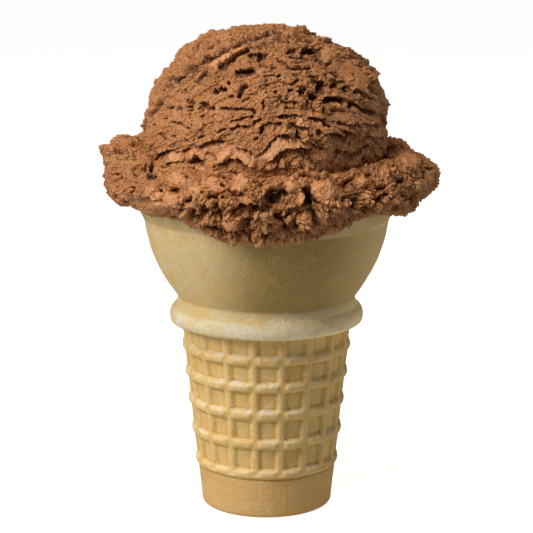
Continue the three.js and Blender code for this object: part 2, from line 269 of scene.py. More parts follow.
def node(tree, kind, inputs=None, **settings):
    """Adds a shader node. Inputs are values for its sockets, or outputs of other nodes to link there."""
    made = tree.nodes.new("ShaderNode" + kind)
    for name, value in settings.items():
        setattr(made, name, value)
    for name, value in (inputs or {}).items():
        if isinstance(value, bpy.types.NodeSocket):
            tree.links.new(value, made.inputs[name])
        else:
            made.inputs[name].default_value = value
    return made


def between(tree, share, low, high):
    """Maps a value so that low gives 0 and high gives 1, with an even S between them."""
    inputs = {"Value": share, "From Min": low, "From Max": high}
    return node(tree, "MapRange", inputs, interpolation_type="SMOOTHSTEP").outputs["Result"]


def mixed(tree, share, first, second):
    """The first colour going over to the second by a share from 0 to 1."""
    return node(tree, "Mix", {0: share, 6: first, 7: second}, data_type="RGBA").outputs[2]


def combined(tree, operation, first, second):
    """Two values joined by one arithmetic operation."""
    return node(tree, "Math", {0: first, 1: second}, operation=operation).outputs[0]


def grain_group():
    """Fine grain of two sizes: puts out its height, and a mask of the small round pores in it."""
    tree = bpy.data.node_groups.new("fine grain", "ShaderNodeTree")
    tree.interface.new_socket("Place", in_out="INPUT", socket_type="NodeSocketVector")
    tree.interface.new_socket("Grains per metre", in_out="INPUT", socket_type="NodeSocketFloat")
    tree.interface.new_socket("Height", in_out="OUTPUT", socket_type="NodeSocketFloat")
    tree.interface.new_socket("Pores", in_out="OUTPUT", socket_type="NodeSocketFloat")
    given = tree.nodes.new("NodeGroupInput")
    place, count = given.outputs["Place"], given.outputs["Grains per metre"]
    coarse = node(tree, "TexNoise", {"Vector": place, "Scale": count, "Detail": 3.0, "Roughness": 0.6})
    bubbles = node(tree, "TexVoronoi", {"Vector": place, "Scale": combined(tree, "MULTIPLY", count, 0.8)})
    pores = between(tree, bubbles.outputs["Distance"], 0.28, 0.1)
    height = combined(tree, "SUBTRACT", coarse.outputs[0], combined(tree, "MULTIPLY", pores, 0.35))
    result = tree.nodes.new("NodeGroupOutput")
    tree.links.new(height, result.inputs["Height"])
    tree.links.new(pores, result.inputs["Pores"])
    return tree


fine_grain = grain_group()


def baked_wafer():
    """Dry baked batter: peach on the band, gold on the barrel, cream on the bead, paler towards its right as
    painted light, and beige on the bowl. Painted shadow turns the bowl olive in front, from its middle
    towards the right, and painted shade turns the rim olive. Blotches of deeper gold are drawn out as the
    batter flowed. A brown line of painted shade runs where bars meet the pocket floors, crests are paler as
    painted highlight, flour lies on what faces up, partly as painted highlight, and fine pale and golden
    flecks are all over. Heights and distances are in metres."""
    material = bpy.data.materials.new("baked_wafer")
    material.use_nodes = True
    tree = material.node_tree
    shader = tree.nodes["Principled BSDF"]
    place = node(tree, "TexCoord").outputs["Object"]
    across, _, height = node(tree, "SeparateXYZ", {"Vector": place}).outputs
    floury = node(tree, "Attribute", attribute_name="floury").outputs["Fac"]
    hollow = node(tree, "Attribute", attribute_name="hollow").outputs["Fac"]
    clouds = node(tree, "TexNoise", {"Vector": place, "Scale": 130.0, "Detail": 5.0, "Roughness": 0.65})
    flow = node(tree, "TexNoise", {"Vector": place, "Scale": 70.0, "Detail": 4.0, "Distortion": 2.2})
    flecks = node(tree, "TexNoise", {"Vector": place, "Scale": 1700.0, "Detail": 3.0, "Roughness": 0.6})
    clouds, flow, flecks = clouds.outputs[0], flow.outputs[0], flecks.outputs[0]
    grain = node(tree, "Group", node_tree=fine_grain)
    tree.links.new(place, grain.inputs["Place"])
    grain.inputs["Grains per metre"].default_value = 1500.0
    on_barrel = between(tree, height, 0.001 * (BAND_TOP_Z + 1), 0.001 * (BAND_TOP_Z + 1.8))
    above_barrel = between(tree, height, 0.001 * (BEAD_UNDERSIDE_Z - 0.9), 0.001 * (BEAD_UNDERSIDE_Z + 0.1))
    on_bowl = between(tree, height, 0.001 * (NECK_Z - 2.7), 0.001 * (NECK_Z + 0.8))
    on_rim = between(tree, height, 0.001 * (RIM_CREASE[1] + 0.5), 0.001 * (RIM_CREASE[1] + 1.2))
    gold = mixed(tree, on_barrel, BAND_PEACH, BARREL_GOLD)
    # Painted light: the bead paler towards the right.
    bead = mixed(tree, between(tree, across, -0.016, 0.014), BEAD_CREAM, BEAD_PAINTED_LIGHT)
    gold = mixed(tree, above_barrel, gold, bead)
    # Painted shadow of the collar: olive on the bowl's front, from its middle towards the right.
    painted_collar_shadow = combined(tree, "MULTIPLY", between(tree, across, -0.016, 0.0),
                       between(tree, across, 0.033, 0.012))
    beige = mixed(tree, combined(tree, "MULTIPLY", painted_collar_shadow, 0.95), BOWL_BEIGE, BOWL_PAINTED_SHADOW)
    gold = mixed(tree, on_bowl, gold, beige)
    # Painted shade: olive on the rim band under the collar.
    gold = mixed(tree, on_rim, gold, RIM_PAINTED_SHADE)
    blotches = combined(tree, "MAXIMUM", between(tree, flow, 0.5, 0.64), between(tree, clouds, 0.54, 0.7))
    deep = mixed(tree, above_barrel, DEEP_GOLD, BOWL_GOLD)
    blotched = combined(tree, "ADD", 0.38, combined(tree, "MULTIPLY", above_barrel, 0.2))
    plainer = combined(tree, "MULTIPLY", on_bowl, combined(tree, "MULTIPLY", painted_collar_shadow, 0.42))
    blotched = combined(tree, "SUBTRACT", blotched, plainer)
    gold = mixed(tree, combined(tree, "MULTIPLY", blotches, blotched), gold, deep)
    # Painted shade: brown in the hollows where the bars meet the pocket floors.
    painted_hollow_shade = between(tree, hollow, 0.04, 0.28)
    gold = mixed(tree, combined(tree, "MULTIPLY", painted_hollow_shade, 0.75), gold, PAINTED_SHADE_BROWN)
    patches = combined(tree, "MULTIPLY", between(tree, flow, 0.6, 0.44), between(tree, clouds, 0.4, 0.56))
    dusted = combined(tree, "ADD", combined(tree, "MULTIPLY", patches, 0.75), 0.14)
    specks = between(tree, flecks, 0.42, 0.6)
    speckled = combined(tree, "ADD", dusted, combined(tree, "MULTIPLY", specks, 0.22))
    # Flour on what faces up, partly painted highlight.
    gold = mixed(tree, combined(tree, "MULTIPLY", floury, speckled), gold, FLOUR_AND_HIGHLIGHT)
    # Painted highlight: crests paler, towards the flour colour.
    crest = between(tree, hollow, 0.0, -0.25)
    gold = mixed(tree, combined(tree, "MULTIPLY", crest, 0.12), gold, FLOUR_AND_HIGHLIGHT)
    pale = combined(tree, "MULTIPLY", between(tree, flecks, 0.46, 0.7),
                    combined(tree, "SUBTRACT", combined(tree, "MULTIPLY", on_barrel, 0.34),
                             combined(tree, "MULTIPLY", on_bowl, 0.18)))
    gold = mixed(tree, pale, gold, FLOUR_AND_HIGHLIGHT)
    gold = mixed(tree, combined(tree, "MULTIPLY", between(tree, flecks, 0.5, 0.3), 0.5), gold, deep)
    tree.links.new(gold, shader.inputs["Base Color"])
    rough = node(tree, "MapRange", {"Value": clouds, "To Min": 0.62, "To Max": 0.85})
    tree.links.new(rough.outputs["Result"], shader.inputs["Roughness"])
    shader.inputs["Specular IOR Level"].default_value = 0.35
    bump = node(tree, "Bump", {"Height": grain.outputs["Height"], "Strength": 0.8, "Distance": 0.0003})
    tree.links.new(bump.outputs["Normal"], shader.inputs["Normal"])
    return material


section, barrel_rows, outside_rows = cup_section()
section_height = section[:, 1]
cup_angles = np.arange(CUP_COLUMNS) * 2 * np.pi / CUP_COLUMNS
cup_place, cup_relief = cup_surface(cup_angles, section, barrel_rows, outside_rows)

# Flour, partly painted highlight: on the upper flanks of the bars, most of all high on the barrel, on the
# bead's bulge, most of all towards the lit left, and in thin lines along the neck and the crease, the
# crease's line a painted highlight.
upward = -np.gradient(cup_relief, axis=0) / BARREL_ROW_STEP * barrel_rows[:, None]
on_bars = smoothstep(upward, 0.2, 0.9) * (0.4 + 0.6 * smoothstep(section_height, 14, 34))[:, None]
bead_bulge = smoothstep(section[:, 0], BEAD_R - 1.5, BEAD_R - 0.7) * (section_height < BEAD_Z + 4)
bead_bulge = bead_bulge * smoothstep(section_height, BEAD_Z - 1.8, BEAD_Z - 0.8)
neck_line = 0.5 * np.exp(-(((section_height - NECK_Z + 0.8) / 0.4) ** 2))
crease_line = 0.4 * np.exp(-(((section_height - RIM_CREASE[1] - 0.1) / 0.35) ** 2))
# Painted highlight: the bead's flour is brighter on the lit left.
lit_side = smoothstep(np.sin(cup_angles), 0.55, -0.1)
cup_floury = on_bars + (neck_line + crease_line)[:, None] + bead_bulge[:, None] * (0.4 + 0.55 * lit_side)
# How deep the relief lies below its surroundings: the material paints its hollows as shade and its crests as
# highlight.
cup_hollow = hollowness(cup_relief, True, {3: 1.0})

rows = len(section)
first_ring, last_ring = np.arange(CUP_COLUMNS), np.arange(CUP_COLUMNS) + (rows - 1) * CUP_COLUMNS
poles = np.vstack([cap_triangles(first_ring, rows * CUP_COLUMNS),
                   cap_triangles(last_ring[::-1], rows * CUP_COLUMNS + 1)])
cup_place = np.vstack([cup_place.reshape(-1, 3), (0, 0, 0), (0, 0, FLOOR_THICKNESS)])
cup_floury, cup_hollow = np.append(cup_floury, (0, 0)), np.append(cup_hollow, (0, 0))
wafer_cup = make_piece("wafer_cup", cup_place, grid_quads(rows, CUP_COLUMNS), poles,
                       floury=cup_floury, hollow=cup_hollow)
wafer_cup.data.materials.append(baked_wafer())
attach(wafer_cup, "root")
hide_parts("wafer_cone")


# ---- The scoop's ball ----
# Hard frozen chocolate ice cream, rolled into a ball as a scoop dragged through the tub. Each pass
# laid a thin layer over the last, and the dry, crumbly mass tore along them.

BALL_CENTRE = np.array([-0.4, 0, 95.2])
BALL_R = 31.2
BALL_SQUASH = np.array([1, 1, 0.9])
BALL_SWELL = 0.7
BALL_LUMP = 0.8
SHOULDER_AXIS = np.array([0.76, -0.12, 0.64]) / np.linalg.norm([0.76, -0.12, 0.64])
SHOULDER_EDGE = 0.86
SHOULDER_RISE = 2.4
SHELL_AXIS = np.array([-0.44, 0.44, 0.78]) / np.linalg.norm([-0.44, 0.44, 0.78])
SHELL_EDGE = 0.52
SHELL_STEP = 1.2
# Broad swells and dents: where they lie on a ball of radius 1, how far they reach on it, and their height.
BALL_SWELLS = [
    ((0.41, -0.1, 0.91), 0.3, -0.5), ((0.9, -0.05, 0.43), 0.2, -0.9), ((0.58, -0.05, 0.81), 0.15, -1.0),
    ((-0.12, 0, 0.99), 0.2, -0.6), ((-0.5, 0, 0.86), 0.22, 1.4), ((-0.72, 0, 0.69), 0.2, -0.9),
]
# The grid: cells along each side of its square, how far it reaches down from the top, and how much its rows
# crowd towards the front.
BALL_CELLS = 620
BALL_REACH = np.radians(113)
FRONT_CROWDING = 0.2

# The front view, in which torn ledges, cracks and lumps are drawn. It reaches to just behind the axis.
VIEW_ELEVATION = np.radians(11.683)
VIEW_DISTANCE = 511.6
VIEW_AIM = np.array([0, 0, 62.2])
VIEW_AHEAD = np.array([0, np.cos(VIEW_ELEVATION), -np.sin(VIEW_ELEVATION)])
VIEW_UP = np.array([0, np.sin(VIEW_ELEVATION), np.cos(VIEW_ELEVATION)])
DRAWN_UP_TO_Y = 16

LAYER_AXIS = np.array([-0.1, 0.5, 0.86]) / np.linalg.norm([-0.1, 0.5, 0.86])

MILK_CHOCOLATE = (0.50, 0.182, 0.048, 1)
PALE_CHOCOLATE = (0.60, 0.256, 0.092, 1)
# Painted shade in hollows, pores and the low spots of the grit.
PAINTED_SHADE_CHOCOLATE = (0.13, 0.030, 0.002, 1)
# Painted highlight on crests.
PAINTED_HIGHLIGHT_CHOCOLATE = (0.62, 0.28, 0.105, 1)
# Smeared skin's paler tone, partly painted sheen.
SMEAR_TONE_AND_SHEEN = (0.47, 0.215, 0.11, 1)


def cells(place, size):
    """Random cells: one heart is set at random in each cube of the given size. Puts out the distances to
    the nearest heart and to the next one, in cubes, which are equal between two cells, and a number from 0
    to 1 of the cell's own."""
    cell, inside = lattice_cell(place, size)
    nearest = np.full(inside.shape[:-1], 9.0)
    second, own = nearest.copy(), nearest.copy()
    for step in np.ndindex(3, 3, 3):
        a, b, c = np.moveaxis(cell + np.array(step, np.uint32) - np.uint32(1), -1, 0)
        away = ((lattice_value(a, b, c) + step[0] - 1 - inside[..., 0]) ** 2
                + (lattice_value(a + np.uint32(57), b, c) + step[1] - 1 - inside[..., 1]) ** 2
                + (lattice_value(a, b + np.uint32(91), c) + step[2] - 1 - inside[..., 2]) ** 2)
        own = np.where(away < nearest, lattice_value(a, b, c + np.uint32(23)), own)
        second = np.minimum(second, np.maximum(nearest, away))
        nearest = np.minimum(nearest, away)
    return np.sqrt(nearest), np.sqrt(second), own


def clumps(place, size):
    """Rounded clumps: 1 at a clump's heart, and less by the square of the distance, to 0 in the cracks."""
    return np.maximum(0, 1 - cells(place, size)[0] ** 2)


def churned(place, size, reach):
    """Places pushed about by noise of the given size, up to reach, so that what lies there looks stirred."""
    push = [noise(place + shift, size) for shift in (61, 167, 241)]
    return place + reach * np.stack(push, axis=-1)


def from_front(place):
    """Where places show in the front view: right of and above its middle, measured at the axis."""
    offset = place - VIEW_AIM + VIEW_DISTANCE * VIEW_AHEAD
    depth = offset @ VIEW_AHEAD / VIEW_DISTANCE
    return np.stack([offset[..., 0] / depth, offset @ VIEW_UP / depth], axis=-1)


def off_line(view, points):
    """How far each seen place lies below a smooth line drawn through the points, negative above it, and a
    fade that is 1 along the line and falls to 0 over the last eighth at each end."""
    line = curve(points, 6 * len(points))
    start, step = line[:-1], np.diff(line, axis=0)
    length = np.hypot(*step.T)
    gap = view[:, None] - start
    share = np.clip((gap * step).sum(-1) / length**2, 0, 1)
    away = gap - share[..., None] * step
    nearest = np.argmin(np.hypot(*np.moveaxis(away, -1, 0)), axis=1)
    pick = np.arange(len(view)), nearest
    side = np.sign(step[nearest, 1] * gap[pick][:, 0] - step[nearest, 0] * gap[pick][:, 1])
    passed = ((np.cumsum(length) - length)[nearest] + share[pick] * length[nearest]) / length.sum()
    fade = smoothstep(passed, 0, 0.12) * smoothstep(1 - passed, 0, 0.12)
    return side * np.hypot(*away[pick].T), fade


def ball_rise(out):
    """How far the ball stands out from its squashed form: two sizes of noise, the thick shell over the
    crown that thins out to the right, the raised shoulder, and shallow swells and dents."""
    place = out * BALL_R
    shell = smoothstep(out @ SHELL_AXIS, SHELL_EDGE - 0.03, SHELL_EDGE + 0.03)
    shell = (shell - 0.4) * smoothstep(out[..., 0], 0.55, 0.05)
    shoulder = smoothstep(out @ SHOULDER_AXIS, SHOULDER_EDGE, 1)
    rise = BALL_SWELL * noise(place, 17) + BALL_LUMP * noise(place, 7)
    rise += SHELL_STEP * shell + SHOULDER_RISE * shoulder
    for toward, reach, height in BALL_SWELLS:
        rise += height * np.exp(-(((out - toward) ** 2).sum(-1)) / reach**2)
    return rise


def dome_directions(count, reach):
    """Directions over a dome about +Z. A square grid is bent ring by ring into a disc, and the disc is
    wrapped over the sphere so that equal areas stay equal. Its rows crowd towards the front."""
    step = np.linspace(-1, 1, count + 1)
    x, y = np.meshgrid(step, step + FRONT_CROWDING * (step**2 - 1), indexing="ij")
    wide = abs(x) > abs(y)
    radius = np.where(wide, x, y)
    with np.errstate(divide="ignore", invalid="ignore"):
        turn = np.where(wide, np.pi / 4 * y / x, np.pi / 2 - np.pi / 4 * x / y)
    turn = np.nan_to_num(turn)
    tilt = 2 * np.arcsin(np.clip(abs(radius) * np.sin(reach / 2), 0, 1))
    flip = np.sign(radius)
    return np.stack([np.sin(tilt) * np.cos(turn) * flip, np.sin(tilt) * np.sin(turn) * flip, np.cos(tilt)],
                    axis=-1)


def layers(place, axis, pitch, lift, cut):
    """Thin torn layers lapping like shingles. The way along the axis, wavered by noise of four sizes, is cut
    into steps. Each layer stands out by lift at its lower edge and thins out upwards, and a gap is cut in
    under the next layer's edge. A layer is strong only in places."""
    along = (place @ axis + 0.5 * pitch * noise(place, 2.2 * pitch) + 0.15 * pitch * noise(place, pitch)
             + 0.22 * noise(place, 1.7) + 0.22 * noise(place + 71, 0.8))
    phase = along / pitch
    number = np.floor(phase)
    share = phase - number

    def strength(layer):
        offset = layer[:, None] * np.array([11.3, 7.7, 5.1])
        return smoothstep(noise(place + offset, 1.8 * pitch), -0.35, 0.35)

    gap = strength(number + 1) * cut * smoothstep(share, 0.72, 1)
    return strength(number) * lift * (1 - share) ** 1.4 - gap


def broken(place, size, octaves, gain):
    """Rough noise like a break: octaves of noise from the given size, each half as large as the last and
    weaker by gain."""
    return sum(gain**n * noise(place + 31 * n, size / 2**n) for n in range(octaves))


def crumbs(place, size):
    """Rounded crumbs with narrow gaps between them, from about -0.6 in the gaps to 0.45 on a crumb."""
    near, second, _ = cells(churned(place, 1.3 * size, 0.35 * size), size)
    return 0.45 - near**2 - 0.4 * np.exp(-(((second - near) / 0.14) ** 2))


def flakes(place, axis, size):
    """Torn flakes: cells drawn out across the axis to nearly three times their size. Each flake has its own
    height, from -0.5 to 0.5, with a ragged step and a narrow cleft between it and the next."""
    along = (place @ axis)[..., None] * axis
    stretched = along + (churned(place, 2 * size, 0.9 * size) - along) * 0.36
    near, second, own = cells(churned(stretched, 0.6 * size, 0.22 * size), size)
    return own - 0.5 - 0.35 * np.exp(-(((second - near) / 0.1) ** 2))


def pores(place, spacing, radius):
    """Small ragged pores, one to each random cell: 1 inside a pore and 0 outside it."""
    away = cells(churned(place, 1.1, 0.35), spacing)[0] * spacing + 0.3 * noise(place, 0.6)
    return smoothstep(away, 1.4 * radius, 0.6 * radius)


def ball_relief(place):
    """The ball's surface: torn flakes that follow the scoop's path and slope down on both sides. Low layers,
    crumbs and hollows lie among them towards the right and in patches, with pores and short cracks all
    over. The crown and the left are crumblier, with crumbs drawn out across the crown. The layers are
    weaker in front, where the torn ledges are drawn."""
    patch = noise(place, 8) + 0.6 * noise(place + 17, 3.6)
    torn = smoothstep(patch + 0.05 * place[..., 0], -0.1, 0.9)
    leftward = np.clip(place[..., 0] - 2, None, 0) ** 2
    rightward = np.clip(place[..., 0] - 8, 0, None) ** 2
    bend = 0.014 * leftward * smoothstep(place[..., 2], 92, 112) + 0.006 * rightward
    path = place + np.array([0, 0, 1]) * bend[..., None]
    coarse = layers(path, LAYER_AXIS, 4.6, 0.8, 0.6)
    fine = layers(path + 90, LAYER_AXIS, 2.3, 0.6, 0.5)
    swell = 0.45 * noise(place + 9, 5) + 0.3 * noise(place + 3, 2.6)
    crumbly = 0.5 * crumbs(place + 5, 1.5) + 0.4 * crumbs(place + 25, 0.9)
    flaky = flakes(path, LAYER_AXIS, 2.2) + 0.7 * flakes(path + 37, LAYER_AXIS, 1.2)
    uneven = broken(churned(place, 2.4, 0.5), 1.9, 3, 0.7)
    ridged = 0.55 - abs(broken(place + 44, 2.6, 3, 0.6))
    along = (path @ LAYER_AXIS)[..., None] * LAYER_AXIS
    stretched = along + (path - along) * 0.34
    split = noise(stretched, 1.5) + 0.4 * noise(place, 0.9)
    cracks = np.exp(-((split / 0.09) ** 2)) * smoothstep(noise(place + 29, 6), 0.15, 0.5)
    holes = pores(place + 77, 3.1, 0.32) + 1.3 * smoothstep(torn, 0.2, 0.8) * pores(place + 7, 4.2, 0.7)
    drawn = 0.7 * smoothstep(place[..., 1], 2, -10)
    torn_layers = (coarse * (0.2 + 0.7 * torn) + fine * (0.1 + 0.8 * torn) - 0.6 * cracks) * (1 - drawn)
    crown = smoothstep(place[..., 2] - 0.35 * place[..., 0], 112, 119)
    left = smoothstep(place[..., 0], -3, -12)
    crumbly = crumbly + 0.5 * crown * crumbs(place * (0.45, 1, 1) + 65, 1.7)
    crumbly = crumbly + 0.5 * crown * left * crumbs(place + 83, 1.9)
    flaked = 0.4 + 0.2 * torn + 0.12 * left + 0.1 * crown
    crumbled = 0.26 + 0.24 * torn + 0.16 * left + 0.3 * crown
    calm = 1 - 0.4 * drawn * smoothstep(place[..., 2], 114, 108)
    return (swell + torn_layers + calm * (flaked * flaky + crumbled * crumbly) + 0.2 * uneven
            + 0.3 * torn * ridged - (0.8 - 0.5 * drawn) * holes)


# The edge of the thick shell over the crown, as the front shows it.
CROWN_EDGE = [
    (-25.6, 47.5), (-24.0, 48.0), (-22.4, 48.6), (-20.8, 49.8), (-19.4, 51.7), (-17.7, 52.4), (-15.6, 54.1),
    (-13.6, 54.3), (-10.6, 56.0), (-6.8, 57.3), (-3.5, 59.2), (-0.6, 60.2), (2.4, 60.5), (5.2, 61.1),
]
# Where the ball shows torn ledges from the front: the lip's line, the depth cut in under it, the
# height of the cut, and the lip's own lift, in mm.
BALL_LEDGES = [
    (CROWN_EDGE, 1.0, 0.8, 0.7),
    ([(-13.4, 51.1), (-11.0, 52.4), (-8.9, 53.6), (-6.6, 55.0), (-3.9, 56.2)], 1.3, 0.6, 0.6),
    ([(-18.5, 47.3), (-17.0, 48.7), (-15.8, 49.9), (-15.0, 50.6)], 1.1, 0.5, 0.5),
    ([(8.6, 56.3), (10.5, 56.4), (12.6, 56.2), (14.8, 56.0)], 2.2, 1.5, 0.5),
    ([(5.3, 56.0), (7.6, 55.9)], 1.2, 0.5, 0.4),
    ([(-4.9, 54.3), (-2.6, 54.5), (-0.9, 55.0), (0.7, 54.6)], 1.4, 0.8, 0.4),
    ([(-8.3, 50.6), (-6.7, 50.5), (-5.0, 50.7), (-3.4, 51.3)], 1.8, 0.9, 0.4),
    ([(11.2, 48.2), (13.2, 47.9), (14.8, 47.2), (15.8, 46.0)], 2.3, 1.4, 0.5),
    ([(14.8, 43.8), (16.6, 43.5), (18.6, 43.2), (20.2, 42.4)], 2.2, 1.2, 0.6),
    ([(20.3, 42.6), (22.2, 42.2), (24.2, 40.8), (27.0, 40.0), (29.6, 39.5)], 1.8, 0.9, 0.4),
    ([(22.0, 45.7), (24.1, 45.0), (26.1, 44.0), (28.2, 42.9)], 1.2, 0.7, 0.4),
    ([(0.2, 42.4), (1.6, 42.6), (3.2, 42.7), (4.8, 42.4), (6.8, 41.9)], 1.1, 0.5, 0.4),
    ([(3.4, 39.0), (5.2, 39.0), (7.0, 38.8), (9.2, 38.7)], 1.8, 0.8, 0.5),
    ([(10.6, 38.7), (12.1, 38.1), (14.0, 38.0), (15.6, 37.8)], 1.8, 0.8, 0.5),
    ([(6.2, 37.1), (7.6, 36.3), (9.6, 35.8)], 1.1, 0.6, 0.3),
    ([(14.6, 34.4), (16.8, 34.3), (18.8, 33.9), (20.8, 33.1)], 1.9, 0.9, 0.7),
    ([(19.6, 34.9), (22.0, 34.3), (24.4, 33.4), (27.0, 33.4), (30.2, 33.3)], 1.2, 0.7, 0.4),
    ([(17.6, 37.5), (20.0, 36.8), (22.2, 36.1), (24.4, 37.2), (26.6, 36.4), (29.8, 36.5)], 1.3, 0.7, 0.4),
    ([(-9.9, 37.1), (-8.2, 37.6), (-6.2, 38.1), (-3.2, 38.7)], 1.2, 0.5, 0.5),
    ([(-3.9, 36.7), (-2.7, 37.6), (-0.8, 38.1)], 1.6, 0.8, 0.5),
    ([(-9.9, 35.0), (-8.4, 35.9), (-6.6, 36.3), (-4.0, 36.0)], 1.5, 0.6, 0.6),
    ([(-2.4, 35.2), (-0.6, 36.3), (1.6, 37.0), (3.4, 36.8)], 1.8, 0.8, 0.5),
    ([(-29.4, 20.8), (-29.4, 22.4), (-29.2, 24.4), (-29.0, 26.6), (-27.9, 28.5), (-26.2, 29.4),
      (-24.6, 29.8), (-22.4, 29.4), (-20.2, 30.4)], 2.4, 0.6, 0.3),
    ([(-18.8, 30.7), (-17.0, 31.1), (-15.4, 31.8), (-14.6, 32.4), (-12.8, 32.2),
      (-10.6, 32.3)], 1.9, 0.8, 0.3),
    ([(-8.4, 30.8), (-7.0, 30.5), (-5.4, 30.4), (-3.9, 29.4), (-2.4, 29.1), (-0.8, 29.9), (0.6, 31.2),
      (2.0, 32.8), (3.2, 33.5)], 1.8, 0.6, 0.3),
    ([(2.8, 33.6), (4.4, 33.9), (6.2, 33.4), (8.4, 33.1)], 2.2, 1.0, 0.4),
    ([(8.4, 32.7), (10.4, 32.1), (12.4, 31.5), (14.4, 30.6), (16.0, 29.8)], 1.3, 0.6, 0.3),
    ([(-13.4, 26.3), (-12.2, 26.3), (-10.8, 26.9), (-9.0, 27.3), (-7.2, 27.6), (-5.8, 26.9),
      (-4.6, 26.0), (-2.6, 25.5)], 2.8, 1.3, 1.0),
    ([(-0.3, 26.6), (1.3, 28.0), (3.1, 29.0), (5.1, 30.0), (7.0, 30.4), (9.4, 30.5),
      (12.0, 30.3)], 2.8, 1.4, 1.0),
    ([(-26.2, 26.2), (-25.0, 26.9), (-23.2, 27.0), (-21.2, 27.0)], 1.6, 0.45, 0.4),
    ([(-26.2, 24.9), (-24.2, 24.7), (-22.2, 24.8), (-20.2, 25.2)], 1.2, 0.7, 0.4),
    ([(17.6, 30.4), (19.8, 29.8), (22.4, 28.9), (25.0, 30.9), (27.6, 30.6)], 1.5, 0.9, 0.3),
]
# Grooves and, with a negative depth, ridges: the line, the depth and half the width.
BALL_CRACKS = [
    (CROWN_EDGE, 0.9, 0.5),
    ([(2.3, 53.6), (3.5, 52.9), (4.8, 52.2), (6.0, 51.1), (8.0, 50.7), (10.0, 50.7),
      (12.0, 51.0)], 1.3, 0.3), ([(5.9, 53.5), (7.5, 53.7), (9.5, 53.4), (11.4, 52.8)], 1.1, 0.3),
    ([(12.6, 53.5), (14.0, 52.6), (15.5, 51.9), (17.2, 51.9)], 1.1, 0.35),
    ([(-1.8, 51.4), (-0.6, 51.6), (0.6, 51.2)], 0.9, 0.25), ([(1.2, 51.0), (2.6, 51.2)], 0.8, 0.25),
    ([(-0.9, 48.6), (0.8, 49.0), (2.4, 49.3)], 0.9, 0.25),
    ([(10.5, 48.5), (12.0, 48.7), (13.4, 48.5)], 0.9, 0.3),
    ([(-12.4, 40.7), (-10.0, 40.4), (-7.0, 40.4), (-4.0, 40.2), (-2.2, 39.4)], 1.3, 0.35),
    ([(-24.8, 37.2), (-22.6, 36.7), (-21.0, 36.0), (-19.2, 35.5)], 1.2, 0.3),
    ([(-23.4, 40.5), (-21.4, 40.5)], 1.3, 0.35), ([(-26.2, 40.2), (-24.0, 41.0)], 1.2, 0.35),
    ([(-31.0, 38.4), (-29.8, 39.5), (-28.6, 40.7), (-27.2, 42.6)], 1.3, 0.7),
    ([(-28.2, 42.0), (-27.0, 43.4)], 0.9, 0.3),
    ([(-5.0, 47.0), (-6.2, 46.2), (-6.6, 44.9), (-7.2, 44.0)], 1.5, 0.55),
    ([(-10.0, 43.7), (-8.4, 44.0)], 1.0, 0.35), ([(-6.5, 42.4), (-4.2, 43.7)], 0.8, 0.25),
    ([(-19.5, 39.4), (-19.4, 37.9)], 0.8, 0.3), ([(-12.8, 34.3), (-12.0, 35.0), (-10.5, 35.1)], 1.0, 0.3),
    ([(-3.4, 32.3), (-2.2, 33.3)], 1.1, 0.35), ([(-17.7, 33.0), (-16.0, 33.8)], 1.0, 0.3),
    ([(-27.7, 34.4), (-26.3, 32.4)], 1.1, 0.45), ([(-28.9, 35.9), (-27.9, 36.6)], 1.1, 0.35),
    ([(-24.2, 33.2), (-23.2, 33.7)], 1.0, 0.35), ([(5.4, 45.0), (7.0, 45.5)], 1.1, 0.4),
    ([(6.4, 46.2), (7.4, 47.1), (8.6, 47.9)], 1.0, 0.4), ([(16.2, 49.6), (18.6, 48.8)], 1.2, 0.45),
    ([(16.6, 46.7), (18.2, 46.3)], 1.4, 0.5), ([(26.0, 46.4), (27.4, 45.3), (28.8, 44.0)], 1.0, 0.4),
    ([(8.0, 34.8), (8.0, 32.3)], 1.8, 0.6), ([(4.8, 37.8), (4.9, 35.8), (4.9, 33.9)], -1.3, 0.8),
    ([(-17.9, 56.3), (-16.8, 57.5)], 0.8, 0.3), ([(-14.9, 55.8), (-13.9, 57.0)], 0.8, 0.3),
    ([(-12.6, 58.3), (-11.4, 57.2)], 0.7, 0.4), ([(-20.4, 54.2), (-18.6, 53.2)], 0.7, 0.4),
    ([(-15.8, 29.2), (-14.0, 27.9), (-12.8, 26.5)], 0.7, 0.8),
    ([(-12.5, 26.6), (-10.8, 28.3), (-8.8, 30.0)], -0.6, 0.8), ([(-30.0, 24.0), (-29.2, 22.4)], 2.2, 0.7),
    ([(14.6, 36.6), (16.6, 35.8)], 1.2, 0.4),
]
